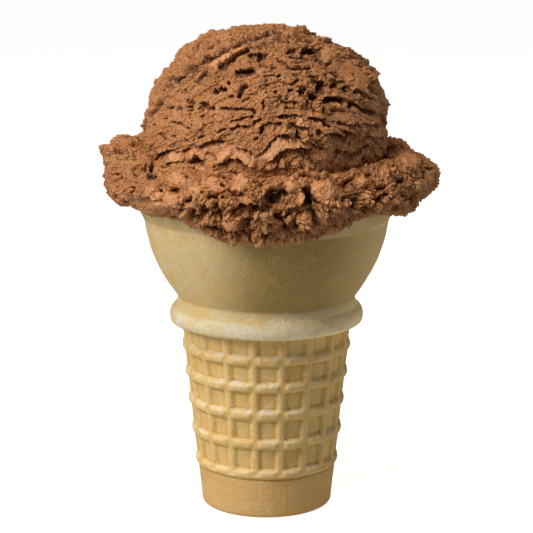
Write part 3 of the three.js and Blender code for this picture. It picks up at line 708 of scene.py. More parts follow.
# Ragged pits: the middle, the radius and the depth.
BALL_PITS = [
    ((-24.7, 46.4), 0.8, 0.9), ((-23.2, 47.5), 0.9, 0.9), ((-18.7, 51.0), 1.0, 1.0),
    ((-15.0, 53.4), 0.9, 0.9), ((-1.4, 59.4), 0.8, 0.7), ((0.6, 59.4), 0.9, 0.7), ((3.2, 60.3), 0.8, 0.7),
    ((-9.9, 55.9), 0.6, 0.7), ((-1.2, 53.6), 1.0, 1.6), ((-19.2, 40.9), 1.2, 2.3),
    ((-19.7, 42.3), 0.7, 1.4), ((-15.9, 41.1), 1.1, 1.6), ((-14.4, 40.7), 0.8, 2.0),
    ((-13.2, 44.9), 0.9, 2.2), ((-11.8, 45.3), 0.9, 2.2), ((-10.1, 47.4), 0.55, 1.5),
    ((-13.6, 47.3), 0.4, 0.9), ((-26.3, 45.4), 0.6, 0.8), ((-22.0, 45.0), 0.45, 0.9),
    ((-20.9, 45.4), 0.35, 0.7), ((-26.0, 37.7), 0.55, 1.2), ((-16.2, 38.4), 0.55, 1.1),
    ((-19.0, 36.6), 0.35, 0.8), ((-15.5, 36.6), 0.35, 0.8), ((-20.8, 32.6), 0.45, 1.0),
    ((-18.8, 32.6), 0.4, 0.8), ((-16.7, 35.1), 0.35, 0.8), ((-3.0, 39.3), 0.5, 1.2),
    ((-7.2, 44.2), 0.65, 1.6), ((-3.2, 50.5), 0.4, 0.9), ((2.7, 48.7), 0.5, 1.8), ((2.0, 44.5), 0.5, 0.8),
    ((-1.0, 41.8), 0.45, 1.2), ((-0.4, 41.0), 0.45, 1.0), ((9.2, 44.8), 0.9, 1.8), ((12.2, 43.6), 1.2, 2.2),
    ((13.6, 46.0), 1.3, 2.0), ((20.3, 45.9), 0.9, 1.8), ((21.6, 41.6), 1.1, 2.0), ((22.3, 49.2), 0.45, 0.9),
    ((22.6, 48.2), 0.5, 0.9), ((4.3, 38.2), 0.8, 1.6), ((3.8, 36.5), 0.7, 1.3), ((13.5, 34.3), 0.7, 1.6),
    ((-1.2, 34.2), 0.9, 1.6), ((-18.2, 26.9), 1.3, 2.8), ((-17.0, 26.3), 0.8, 1.8),
    ((18.6, 29.5), 0.9, 1.5), ((28.2, 31.8), 0.4, 0.9), ((10.6, 41.8), 0.7, 1.4), ((6.9, 41.6), 0.6, 1.2),
    ((-31.3, 29.3), 0.5, 1.0),
]
# Where the scoop smeared the surface smooth: the middle and the radius.
BALL_SMEARS = [
    ((-18.4, 28.8), 1.8), ((-15.9, 29.8), 2.0), ((-13.5, 28.6), 2.4), ((-10.2, 29.2), 2.4),
    ((-7.4, 28.7), 2.2), ((-4.6, 27.6), 1.9), ((-3.0, 26.7), 1.4), ((-0.6, 28.0), 1.8), ((1.8, 29.9), 1.8),
    ((4.0, 31.5), 1.9), ((7.0, 31.6), 1.8), ((10.0, 31.3), 1.4), ((-23.6, 28.2), 1.6), ((-16.2, 25.0), 1.8),
    ((22.0, 50.2), 2.6), ((23.4, 47.6), 1.9), ((13.4, 36.3), 1.8), ((19.4, 38.9), 1.7), ((9.0, 36.7), 1.1),
    ((24.9, 46.2), 1.4), ((-10.4, 53.9), 1.6), ((-7.0, 56.0), 1.6), ((-13.8, 52.6), 1.6),
    ((-2.4, 35.7), 0.9),
]
# Lumps that stand out: the middle, the radius and the height.
BALL_LUMPS = [
    ((9.8, 33.6), 1.6, 1.4), ((6.2, 34.1), 1.2, 1.0), ((25.6, 42.4), 0.8, 0.9), ((18.5, 41.2), 1.0, 1.0),
    ((13.6, 41.3), 1.4, 0.9), ((16.6, 41.2), 1.0, 0.8), ((17.4, 44.3), 0.7, 0.7), ((16.6, 48.7), 0.8, 0.8),
    ((18.4, 48.0), 0.8, 0.7), ((8.3, 55.6), 0.6, 0.9), ((18.8, 46.3), 0.7, 0.7), ((8.8, 42.4), 1.0, 0.8),
    ((21.8, 45.6), 0.5, 0.7), ((13.4, 39.6), 1.2, 0.7), ((26.2, 51.4), 1.6, 0.9), ((27.0, 48.6), 1.2, 0.9),
    ((23.6, 53.4), 1.4, 0.8), ((20.6, 54.6), 1.0, 0.8), ((12.6, 57.8), 1.0, 0.7), ((-6.4, 62.0), 0.8, 0.6),
    ((1.2, 25.9), 1.2, 0.7), ((4.2, 25.9), 1.2, 0.7), ((7.2, 25.8), 1.2, 0.7), ((10.4, 25.8), 1.3, 0.8),
]


def drawn_relief(place, out, ledges, cracks, pits, smears, lumps):
    """Relief where the front shows it: height of the surface, how far it is drawn up under a lip, and how
    smoothly it is smeared, 0 to 1. A ledge is strong in some places and weak in others, and the ground
    torn open below its lip is crumbly."""
    height, tuck, smooth = np.zeros((3, len(place)))
    toward = VIEW_DISTANCE * -VIEW_AHEAD + VIEW_AIM - place
    toward /= np.linalg.norm(toward, axis=1)[:, None]
    seen = np.flatnonzero(((out * toward).sum(-1) > 0.05) & (place[:, 1] < DRAWN_UP_TO_Y))
    facing = smoothstep((out[seen] * toward[seen]).sum(-1), 0.05, 0.3)
    jitter = np.stack([broken(place[seen] + shift, 2.8, 3, 0.7) for shift in (5, 55)], -1)
    grains = crumbs(place[seen] + 15, 1.1) + 0.5 * noise(place[seen] + 65, 0.7)
    rubble = crumbs(place[seen] + 47, 1.0) + 0.6 * broken(place[seen] + 9, 1.6, 3, 0.7)
    strong = 0.75 + 0.55 * noise(place[seen] + 35, 3.4)
    view = from_front(place[seen])

    def near(points, reach):
        low, high = np.min(points, axis=0) - reach, np.max(points, axis=0) + reach
        return np.flatnonzero(((view > low) & (view < high)).all(axis=1))

    for points, depth, width, lift in ledges:
        pick = near(points, 4 + 2 * width)
        below, fade = off_line(view[pick] + 0.26 * jitter[pick], points)
        below, fade = below - 0.34 * grains[pick], fade * facing[pick]
        under = smoothstep(below, -0.1, 0.4)
        trail = np.exp(-((np.clip(below - 0.3, 0, None) / width) ** 2))
        lip = (lift + 0.4 * grains[pick]) * np.exp(-((np.minimum(below, 0) / 1.8) ** 2)) * (1 - under)
        torn = under * np.exp(-((np.clip(below - 0.3, 0, None) / (1.4 * width)) ** 2))
        cut = 1.2 * strong[pick] * depth * under * trail
        height[seen[pick]] += fade * (strong[pick] * lip - cut + 0.6 * torn * rubble[pick])
        tuck[seen[pick]] += fade * 0.7 * cut
    for points, depth, width in cracks:
        pick = near(points, 3 * width + 1)
        below, fade = off_line(view[pick] + 0.24 * jitter[pick], points)
        groove = np.exp(-(((below - 0.2 * grains[pick]) / width) ** 2))
        height[seen[pick]] -= fade * facing[pick] * depth * groove
    for spots, sign in ((pits, -1), (lumps, 1)):
        for centre, radius, size in spots:
            pick = near([centre], 2 * radius + 2)
            away = np.hypot(*(view[pick] + 0.5 * jitter[pick] - centre).T) / radius
            away = away - 0.7 * sign * min(1, 0.9 / radius) * grains[pick]
            moat = 0.35 * smoothstep(abs(away - 1.25), 0.3, 0) if sign > 0 else 0
            height[seen[pick]] += facing[pick] * sign * size * (smoothstep(away, 1.2, 0.45) - moat)
    for centre, radius in smears:
        pick = near([centre], 2 * radius + 2)
        away = np.hypot(*(view[pick] + 0.8 * jitter[pick] - centre).T) / radius
        smooth[seen[pick]] = np.maximum(smooth[seen[pick]], facing[pick] * smoothstep(away, 1.2, 0.7))
    return height, tuck, smooth


def sagged(place, out, height, tuck, slip):
    """Moves a surface out by its relief. What stands out also slips down the slope, so that its lower edge
    overhangs, and what is tucked is drawn up under the lip above it."""
    down = -np.array([0, 0, 1]) + out * out[..., 2:]
    return place + out * height[..., None] + down * (slip * height - tuck)[..., None]


def surface_normals(place, closed):
    """Unit normals of a grid of places, from the steps to the neighbours in each direction. Closed grids
    join their last row and column to the first ones."""
    if closed:
        along = np.roll(place, -1, axis=0) - np.roll(place, 1, axis=0)
        across = np.roll(place, -1, axis=1) - np.roll(place, 1, axis=1)
    else:
        along, across = np.gradient(place, axis=0), np.gradient(place, axis=1)
    normal = np.cross(along, across)
    return normal / np.maximum(np.linalg.norm(normal, axis=-1, keepdims=True), 1e-9)


def closed_patch(name, place, normal, tips, tube=False, **measures):
    """One part of a finer surface, made into a closed piece: quads over its grid, and fans out of sight that
    join its edge to tips inside the ice cream. A tube has its second direction closed, and two ends. Its
    measures are 0 at the tips."""
    count_a, count_b = place.shape[:2]
    corner = np.arange(count_a * count_b).reshape(count_a, count_b)
    wrapped = np.hstack([corner, corner[:, :1]]) if tube else corner
    around_quad = [wrapped[:-1, :-1], wrapped[1:, :-1], wrapped[1:, 1:], wrapped[:-1, 1:]]
    quads = np.stack(around_quad, axis=-1).reshape(-1, 4)
    if tube:
        edges = [corner[0, ::-1], corner[-1]]
    else:
        edges = [np.concatenate([corner[:-1, 0], corner[-1, :-1], corner[:0:-1, -1], corner[0, :0:-1]])]
    fans = [cap_triangles(edge, count_a * count_b + number) for number, edge in enumerate(edges)]
    place = np.vstack([place.reshape(-1, 3), *tips])
    normal = np.vstack([normal.reshape(-1, 3)] + [(0, 0, -1)] * len(tips))
    measures = {measure: np.append(values, [0] * len(tips)) for measure, values in measures.items()}
    return make_piece(name, place, quads, np.vstack(fans), normals=normal, **measures)


def chocolate_ice_cream():
    """Frozen milk chocolate: glossier and paler where the scoop smeared it, the paler tone partly painted
    sheen;
    lighter on its crests as painted highlight; darker in its pores, its torn hollows and the low spots of its
    fine grit as painted shade; and moist enough for a soft, broken gloss."""
    material = bpy.data.materials.new("chocolate_ice_cream")
    material.use_nodes = True
    tree = material.node_tree
    shader = tree.nodes["Principled BSDF"]
    place = node(tree, "TexCoord").outputs["Object"]
    hollow = node(tree, "Attribute", attribute_name="hollow").outputs["Fac"]
    smear = node(tree, "Attribute", attribute_name="smear").outputs["Fac"]
    clouds = node(tree, "TexNoise", {"Vector": place, "Scale": 160.0, "Detail": 4.0, "Roughness": 0.6})
    grain = node(tree, "Group", node_tree=fine_grain)
    tree.links.new(place, grain.inputs["Place"])
    grain.inputs["Grains per metre"].default_value = 1300.0
    grit_height_and_shade = node(tree, "TexNoise", {"Vector": place, "Scale": 2600.0, "Detail": 2.0}).outputs[0]
    brown = mixed(tree, between(tree, clouds.outputs[0], 0.36, 0.66), MILK_CHOCOLATE, PALE_CHOCOLATE)
    # Smeared skin paler, partly as painted sheen.
    brown = mixed(tree, combined(tree, "MULTIPLY", smear, 0.2), brown, SMEAR_TONE_AND_SHEEN)
    # Painted highlight: crests lighter and warmer.
    crest = between(tree, hollow, -0.1, -0.8)
    brown = mixed(tree, combined(tree, "MULTIPLY", crest, 0.7), brown, PAINTED_HIGHLIGHT_CHOCOLATE)
    # Painted shade: darker in the hollows and under the lips.
    painted_hollow_shade = between(tree, hollow, 0.1, 1.1)
    brown = mixed(tree, combined(tree, "MULTIPLY", painted_hollow_shade, 0.72), brown, PAINTED_SHADE_CHOCOLATE)
    # Painted shade in the pores, and in the low spots of the fine grit.
    brown = mixed(tree, combined(tree, "MULTIPLY", grain.outputs["Pores"], 0.55), brown, PAINTED_SHADE_CHOCOLATE)
    brown = mixed(tree, combined(tree, "MULTIPLY", between(tree, grit_height_and_shade, 0.5, 0.3), 0.3), brown, PAINTED_SHADE_CHOCOLATE)
    tree.links.new(brown, shader.inputs["Base Color"])
    rough = node(tree, "MapRange", {"Value": clouds.outputs[0], "From Min": 0.3, "From Max": 0.7,
                                    "To Min": 0.52, "To Max": 0.36}).outputs["Result"]
    rough = combined(tree, "SUBTRACT", rough, combined(tree, "MULTIPLY", smear, 0.08))
    tree.links.new(rough, shader.inputs["Roughness"])
    shader.inputs["Specular IOR Level"].default_value = 0.66
    sandy = combined(tree, "ADD", grain.outputs["Height"], combined(tree, "MULTIPLY", grit_height_and_shade, 0.5))
    calm = combined(tree, "SUBTRACT", 1.0, combined(tree, "MULTIPLY", smear, 0.55))
    bump = node(tree, "Bump", {"Height": sandy, "Strength": calm, "Distance": 0.0009})
    tree.links.new(bump.outputs["Normal"], shader.inputs["Normal"])
    return material


out = dome_directions(BALL_CELLS, BALL_REACH)
side = BALL_CELLS + 1
ball_form = BALL_CENTRE + out * (BALL_R + ball_rise(out))[..., None] * BALL_SQUASH
drawn_height, drawn_tuck, smeared = (values.reshape(side, side) for values in drawn_relief(
    ball_form.reshape(-1, 3), out.reshape(-1, 3), BALL_LEDGES, BALL_CRACKS, BALL_PITS, BALL_SMEARS,
    BALL_LUMPS))
ball_height = ball_relief(ball_form.reshape(-1, 3)).reshape(side, side) * (1 - 0.8 * smeared) + drawn_height
ball_place = sagged(ball_form, out, ball_height, drawn_tuck, 0.3)
ball_normal = surface_normals(ball_place, closed=False)
# Painted shade: darker under the lips, and most of all in what is torn open on the crown and seen on edge.
ball_hollow_and_painted_shade = hollowness(ball_height, False, {3: 1.1, 12: 0.9, 28: 0.45}) + 0.5 * drawn_tuck
ball_hollow_and_painted_shade += 2.6 * smoothstep(ball_form[..., 2], 107, 112) * np.clip(-drawn_height - 0.05, 0, 0.9)
ice_cream = chocolate_ice_cream()
half = BALL_CELLS // 2
ball_tip = BALL_CENTRE - (0, 0, 18)
for quarter, (a, b) in enumerate(np.ndindex(2, 2)):
    patch = np.s_[a * half:(a + 1) * half + 1, b * half:(b + 1) * half + 1]
    piece = closed_patch(f"scoop_ball_{quarter + 1}", ball_place[patch], ball_normal[patch], [ball_tip],
                         hollow=ball_hollow_and_painted_shade[patch], smear=smeared[patch])
    piece.data.materials.append(ice_cream)
    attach(piece, "root")
    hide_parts("ice_cream_scoop")


# ---- The collar ----
# What the scoop pressed out round the ball's foot: broken lumps of the same ice cream, frozen
# together in a ragged ring that hangs over the cup's rim.

COLLAR_R = 31
COLLAR_Z = 86
COLLAR_TILT = 1.6
COLLAR_INWARD = 9
COLLAR_UPPER_CURVE = {"front": 0.94, "right": 1.0, "back": 0.82, "left": 0.42}
COLLAR_LOWER_CURVE = {"front": 0.75, "right": 0.8, "back": 1.0, "left": 0.8}
COLLAR_MIDDLE = {"front": 80.6, "right": 84.5, "back": 86, "left": 86}
COLLAR_REACH = {"front": 38.0, "right": 41.9, "back": 39.6, "left": 40.2}
COLLAR_TOP = {"front": 90.2, "right": 91.8, "back": 91.0, "left": 92.4}
# How low the collar hangs, by the angle from the front in degrees.
COLLAR_HANG = {
    -180: 77.4, -120: 78, -90: 77.4, -57: 79.2, -42: 78.5, -28: 77.2, -20: 75.4, 0: 74.8,
    15: 74.6, 24: 75.8, 33: 76.6, 40: 79.2, 55: 79.1, 70: 77.8, 90: 76.8, 120: 77.6, 180: 77.4,
}
CLUMP_SIZE = 7.5
CLUMP_HEIGHT = 4.6
LUMP_SIZE = 4.6
LUMP_HEIGHT = 1.3
# A knob on the far left between two notches: the middle, the reach and the height.
COLLAR_SWELLS = [((-39.8, -3, 91.6), 2.2, 1.4), ((-38.6, 3, 92.6), 1.8, -1.6),
                 ((-36.6, -8.6, 92.0), 2.0, -1.8)]
COLLAR_PATCHES = 4
COLLAR_COLUMNS = 1080
COLLAR_ROWS = 340
COLLAR_SEEN = np.radians([-100, 112])
COLLAR_SEEN_ROWS = 300
TURNS_TRIED = 1600


def around(angle, sizes):
    """Four sizes, one for each side, blended round the axis by the squares of the angle's cosine and sine."""
    ahead, right = np.cos(angle), np.sin(angle)
    return (np.maximum(0, ahead) ** 2 * sizes["front"] + np.maximum(0, -ahead) ** 2 * sizes["back"]
            + np.maximum(0, right) ** 2 * sizes["right"] + np.maximum(0, -right) ** 2 * sizes["left"])


def collar_section(angle, turn):
    """The collar's section at one angle is an oval, squarer above than below and tipped so that its outer
    edge turns up. Each half's squareness is a power of the sine and cosine. Puts out how far the section
    reaches outward and upward from its middle."""
    upper = np.sin(turn) > 0
    power = np.where(upper, around(angle, COLLAR_UPPER_CURVE), around(angle, COLLAR_LOWER_CURVE))
    across, up = (np.sign(part) * abs(part) ** power for part in (np.cos(turn), np.sin(turn)))
    outward = across * np.where(across > 0, around(angle, COLLAR_REACH) - COLLAR_R, COLLAR_INWARD)
    hang = np.interp(np.degrees(np.arctan2(np.sin(angle), np.cos(angle))), *zip(*COLLAR_HANG.items()))
    middle = around(angle, COLLAR_MIDDLE)
    height = np.where(upper, around(angle, COLLAR_TOP) - middle, middle - hang)
    return outward, up * height + COLLAR_TILT * across


def collar_form(angle, turn):
    """The section carried round the ball's foot. Its outer side is pushed in and out by large clumps, smaller
    lumps, and the knob and notches on the far left."""
    outward, upward = collar_section(angle, turn)
    ahead = np.stack([np.sin(angle), -np.cos(angle), 0 * angle], -1)
    middle = around(angle, COLLAR_MIDDLE)

    def at(outward, upward):
        return ahead * (COLLAR_R + outward)[..., None] + np.array([0, 0, 1]) * (middle + upward)[..., None]

    smooth = at(outward, upward)
    rough = CLUMP_HEIGHT * (clumps(smooth, CLUMP_SIZE) - 0.7) + LUMP_HEIGHT * noise(smooth, LUMP_SIZE)
    for centre, reach, height in COLLAR_SWELLS:
        rough = rough + height * np.exp(-(((smooth - centre) ** 2).sum(-1)) / reach**2)
    push = rough * smoothstep(outward, -1, 4) / np.hypot(outward, upward)
    return at(outward * (1 + push), upward * (1 + push))


def collar_relief(place):
    """The collar's broken surface. Steep-sided chunks stand in stirred ice cream with ragged gaps torn in
    between them, most of all low down in front. The left is full of pores, and the right is crumblier.
    All but the pores are weaker in front, where the lumps and voids are drawn."""
    stirred = churned(place, 5, 1.8)
    left = smoothstep(place[..., 0] + 4 * noise(place + 21, 9), -8, -22)
    right = smoothstep(place[..., 0], 14, 26)
    front = smoothstep(place[..., 2] + 2 * noise(place + 33, 7), 87, 81)
    front = front * smoothstep(abs(place[..., 0] + 2), 22, 12)
    smeared = smoothstep(noise(place + 3, 8) + 0.5 * left, 0.1, 0.6)
    chunks = np.tanh(1.8 * broken(stirred + 101, 6.5, 3, 0.55))
    bits = broken(churned(place, 2.4, 0.8) + 201, 2.4, 3, 0.65)
    gaps = smoothstep(broken(churned(place + 13, 3, 1), 4.8, 3, 0.6), 0.3, 0.55) * (0.45 + 0.75 * front)
    rough = 1 - 0.65 * smeared
    ahead = smoothstep(place[..., 1], 4, -8)
    undrawn = 1 - 0.6 * ahead
    fine = 0.5 * crumbs(place + 5, 1.5) + 0.35 * crumbs(place + 25, 0.9)
    crumbled = (1 - 0.45 * left + 0.35 * right) * (1 - 0.4 * front * ahead)
    return ((0.8 + 0.5 * front) * undrawn * rough * chunks + 0.35 * rough * bits
            + 0.2 * broken(place + 7, 1.3, 3, 0.75) + crumbled * fine
            - 2.6 * gaps * (1 - 0.6 * left) * undrawn - (0.5 + 0.6 * left) * pores(place + 57, 2.3, 0.4))


# The collar's ledges, grooves and ridges, pits, smears and lumps, given as the ball's are.
COLLAR_LEDGES = [
    ([(-16.6, 23.6), (-14.8, 23.9), (-12.4, 23.6), (-9.8, 23.6), (-7.4, 23.2)], 1.2, 0.5, 0.7),
    ([(1.2, 23.3), (3.2, 23.4), (5.2, 23.3)], 1.3, 0.5, 0.5),
    ([(6.8, 23.7), (9.0, 23.7), (11.2, 23.8), (13.8, 23.4)], 2.6, 1.0, 0.7),
    ([(-11.2, 13.3), (-9.6, 12.7), (-7.4, 12.8)], 1.8, 0.6, 0.6),
    ([(-7.6, 16.2), (-5.2, 16.4), (-3.0, 16.3), (-1.0, 15.6)], 3.2, 1.6, 0.7),
    ([(21.0, 18.6), (23.2, 19.2), (25.6, 18.7), (27.2, 17.4)], 0.6, 0.6, 0.7),
    ([(30.8, 25.9), (32.6, 25.6), (34.4, 25.6)], 1.2, 0.5, 0.6),
    ([(24.8, 23.8), (26.8, 23.8)], 0.9, 0.4, 0.5),
    ([(-38.8, 30.9), (-37.2, 30.7), (-35.4, 30.6)], 1.6, 0.6, 0.4),
    ([(12.8, 15.4), (15.4, 15.6), (18.8, 15.2), (21.6, 14.6)], 1.3, 0.5, 0.5),
    ([(13.0, 14.2), (16.0, 14.4), (19.6, 13.9)], 1.2, 0.4, 0.5),
    ([(13.4, 13.0), (16.4, 13.2), (20.0, 12.8)], 1.2, 0.4, 0.5),
    ([(13.8, 11.8), (16.8, 11.9), (20.2, 11.5)], 1.2, 0.4, 0.5),
    ([(14.4, 10.6), (17.2, 10.6), (20.0, 10.2)], 1.1, 0.4, 0.5),
    ([(38.6, 29.8), (40.6, 29.2), (42.4, 28.2)], 1.2, 0.9, 0.4),
]
COLLAR_CRACKS = [
    ([(9.8, 20.4), (10.6, 18.6), (10.6, 16.8), (10.4, 15.4)], 3.2, 0.8),
    ([(10.4, 15.8), (11.8, 13.6), (13.2, 11.2)], 2.8, 0.8),
    ([(10.8, 19.4), (12.0, 17.6), (12.4, 16.4)], 1.4, 0.4),
    ([(12.4, 18.2), (12.8, 16.8), (14.2, 16.0), (16.0, 15.9)], 0.9, 0.3),
    ([(22.9, 18.2), (22.9, 16.6), (23.1, 15.2), (23.2, 13.6)], 3.2, 0.9),
    ([(-6.9, 19.6), (-6.4, 18.2), (-5.2, 17.4), (-4.0, 17.5)], 1.8, 0.4),
    ([(-15.0, 17.0), (-13.8, 17.7), (-12.4, 18.0)], 2.0, 0.6),
    ([(-21.6, 16.4), (-20.2, 16.9), (-18.8, 17.2)], 2.4, 0.8),
    ([(-20.9, 15.6), (-21.6, 14.6), (-22.8, 13.8)], 2.2, 0.6),
    ([(-24.9, 19.7), (-23.6, 19.5), (-22.8, 19.1)], 1.6, 0.5),
    ([(-31.0, 18.0), (-30.6, 16.9), (-29.9, 16.2)], 1.4, 0.5),
    ([(-28.6, 17.2), (-27.2, 16.7), (-26.4, 17.2)], 0.9, 0.3), ([(-27.6, 19.8), (-26.8, 18.9)], 1.2, 0.4),
    ([(-34.2, 20.4), (-34.4, 19.0)], 1.2, 0.4), ([(-11.9, 21.3), (-11.0, 20.9), (-10.2, 20.3)], 1.2, 0.35),
    ([(40.0, 28.6), (41.1, 26.8), (41.1, 24.4), (40.7, 21.6)], 2.2, 0.7),
    ([(20.2, 21.6), (21.0, 22.0), (22.0, 22.8)], 1.6, 0.45),
    ([(0.6, 19.4), (3.0, 19.8), (5.4, 19.4)], 1.4, 0.6),
    ([(27.6, 20.0), (29.6, 20.4), (31.0, 20.0)], 1.4, 0.6), ([(-34.6, 30.8), (-33.4, 32.2)], 1.2, 0.4),
    ([(31.2, 15.8), (32.6, 15.0), (34.2, 14.8)], 1.6, 0.7),
    ([(-16.4, 9.9), (-14.6, 9.2), (-12.8, 9.7)], 1.8, 0.7), ([(0.0, 10.6), (1.6, 10.4)], 2.0, 0.8),
    ([(-20.4, 16.2), (-21.2, 14.2), (-21.8, 12.4), (-22.4, 11.4)], -1.5, 0.6),
    ([(-1.2, 17.6), (-0.4, 19.4), (1.4, 20.6), (4.4, 21.1)], -1.1, 0.8),
    ([(4.4, 21.0), (7.4, 20.2), (9.2, 18.4), (8.6, 16.6), (5.8, 15.6), (3.0, 15.2),
      (0.2, 14.6)], -1.2, 0.8), ([(-1.8, 12.6), (0.2, 13.6), (2.6, 14.4)], -1.0, 0.7),
    ([(-14.0, 21.8), (-12.0, 22.0)], -0.5, 0.5),
    ([(31.0, 30.9), (34.6, 31.4), (37.9, 30.3), (40.6, 28.8), (42.2, 26.4)], 2.6, 1.1),
    ([(-29.3, 22.7), (-29.6, 24.8), (-29.1, 26.6), (-28.0, 28.3), (-26.4, 29.3), (-23.8, 29.8)], 2.2, 0.4),
    ([(-27.0, 25.2), (-26.3, 26.2), (-25.0, 26.8), (-23.0, 26.9), (-21.0, 26.8)], 1.8, 0.4),
]
COLLAR_PITS = [
    ((1.6, 17.4), 1.6, 2.6), ((3.6, 18.0), 1.7, 2.8), ((5.2, 18.6), 0.9, 2.0), ((-4.0, 14.6), 1.3, 2.6),
    ((-6.2, 14.8), 0.9, 2.0), ((-4.4, 11.4), 1.5, 2.4), ((-2.4, 10.6), 1.4, 2.4), ((3.2, 12.2), 1.3, 2.2),
    ((3.6, 13.6), 0.7, 1.8), ((8.3, 10.8), 0.9, 2.4), ((6.4, 11.2), 0.6, 1.2), ((10.4, 16.8), 1.1, 2.2),
    ((-19.0, 13.4), 1.5, 2.8), ((-17.6, 12.2), 1.1, 2.4), ((-19.6, 11.8), 1.0, 2.2),
    ((-11.0, 18.0), 0.7, 1.4), ((-13.2, 10.1), 0.7, 1.8), ((-16.4, 15.2), 0.9, 1.6),
    ((-37.4, 28.8), 1.5, 3.0), ((-36.0, 28.6), 1.0, 1.6), ((-34.2, 28.4), 0.9, 1.0),
    ((-39.6, 23.4), 0.5, 1.2), ((-37.2, 22.8), 0.6, 1.2), ((-33.9, 25.3), 0.5, 1.2),
    ((-35.0, 24.3), 0.45, 1.0), ((-34.3, 23.3), 0.55, 1.2), ((-33.0, 25.6), 0.45, 1.0),
    ((-31.2, 25.2), 0.55, 1.2), ((-30.5, 23.2), 0.7, 1.4), ((-36.4, 16.3), 0.6, 1.2),
    ((-40.6, 19.0), 0.9, 1.2), ((-29.0, 23.2), 0.9, 2.4), ((37.3, 18.2), 1.6, 2.8),
    ((38.6, 16.8), 1.4, 2.4), ((34.5, 22.0), 0.9, 2.0), ((33.6, 21.2), 0.7, 1.4), ((27.3, 22.2), 0.5, 1.2),
    ((13.6, 23.0), 0.9, 2.0), ((29.0, 17.6), 0.8, 1.2), ((30.6, 18.8), 0.7, 1.2), ((20.3, 17.2), 0.7, 1.6),
    ((25.4, 14.6), 0.8, 1.6), ((-8.6, 10.0), 0.4, 0.8), ((21.4, 10.2), 0.9, 1.6), ((42.2, 25.6), 0.6, 1.4),
    ((32.6, 28.2), 0.6, 1.2), ((4.8, 9.2), 1.0, 1.4),
]
COLLAR_SMEARS = [
    ((-18.0, 24.6), 2.0), ((-13.2, 21.6), 2.6), ((-18.4, 21.4), 2.4), ((-23.0, 22.6), 2.2),
    ((-6.8, 21.6), 2.2), ((12.6, 20.8), 2.4), ((15.4, 19.2), 2.8), ((14.4, 17.4), 1.8), ((17.8, 17.4), 1.8),
    ((6.6, 20.6), 1.6), ((8.2, 18.6), 1.2), ((36.6, 27.2), 2.8), ((31.0, 24.6), 1.8), ((25.6, 17.8), 1.4),
    ((-8.6, 11.2), 1.8), ((-10.6, 11.8), 1.4), ((-27.0, 17.8), 2.2), ((-23.6, 17.0), 2.0),
    ((-26.4, 15.4), 1.6), ((10.6, 12.0), 1.2), ((17.4, 24.6), 1.4), ((43.2, 24.6), 1.2),
    ((-29.6, 19.6), 1.6), ((24.4, 21.6), 1.8),
]
COLLAR_LUMPS = [
    ((-41.0, 30.5), 2.0, 1.3), ((-41.0, 28.2), 1.4, 0.7), ((-9.2, 11.2), 3.0, 2.1),
    ((-13.6, 12.0), 2.4, 1.8), ((-9.6, 14.0), 1.5, 1.3), ((-10.2, 16.2), 2.6, 1.5),
    ((-14.2, 15.6), 1.5, 1.3), ((-8.8, 7.6), 1.2, 1.3), ((-2.6, 19.2), 2.0, 0.8), ((-4.0, 16.9), 1.4, 0.8),
    ((4.7, 17.5), 0.8, 2.0), ((0.4, 13.0), 1.7, 1.3), ((4.4, 14.2), 1.5, 1.2), ((6.0, 11.8), 1.2, 1.4),
    ((6.8, 9.8), 0.7, 1.2), ((10.4, 11.6), 2.2, 1.8), ((9.4, 10.0), 0.9, 1.4), ((2.8, 10.2), 1.2, 0.8),
    ((4.0, 6.4), 0.8, 1.0), ((8.8, 6.4), 1.0, 1.2), ((12.8, 7.0), 0.9, 1.0), ((-2.2, 7.2), 1.7, 1.6),
    ((1.2, 6.6), 1.6, 1.6), ((-12.8, 7.6), 0.9, 0.9), ((8.6, 17.6), 1.4, 0.8), ((15.0, 19.4), 3.0, 1.0),
    ((17.0, 12.6), 4.0, 1.1), ((25.4, 17.7), 1.6, 1.9), ((26.8, 16.3), 0.9, 1.5), ((21.4, 16.2), 0.9, 1.2),
    ((24.0, 21.6), 1.8, 1.0), ((39.0, 21.2), 1.2, 1.3), ((36.2, 18.8), 1.0, 0.8), ((37.4, 21.6), 0.9, 0.8),
    ((31.2, 24.6), 1.8, 0.9), ((33.4, 23.4), 1.0, 0.9), ((36.6, 27.0), 2.8, 0.9), ((43.4, 26.8), 1.3, 1.4),
    ((43.6, 24.6), 1.4, 1.4), ((31.6, 28.4), 1.0, 0.8), ((15.0, 23.8), 0.9, 1.0), ((22.0, 23.9), 1.2, 0.8),
    ((21.6, 10.8), 1.2, 1.2), ((-26.0, 17.4), 2.8, 0.7), ((-16.6, 9.2), 1.0, 0.8), ((34.0, 16.6), 1.6, 0.9),
    ((28.8, 14.8), 1.3, 0.8),
]


def even_turns(angles, first, last, count):
    """Turns from first to last that step evenly along the collar's section at each of the angles. The turns
    tried for that crowd where the section has its corners."""
    tried = np.linspace(first - 0.3, last + 0.3, TURNS_TRIED)
    tried = np.unique(np.clip(tried - 0.245 * np.sin(4 * tried), first, last))
    step = np.hypot(*np.diff(collar_section(*np.meshgrid(angles, tried)), axis=1))
    length = np.vstack([0 * angles, np.cumsum(step, axis=0)])
    return np.stack([np.interp(np.linspace(0, way[-1], count), way, tried) for way in length.T])


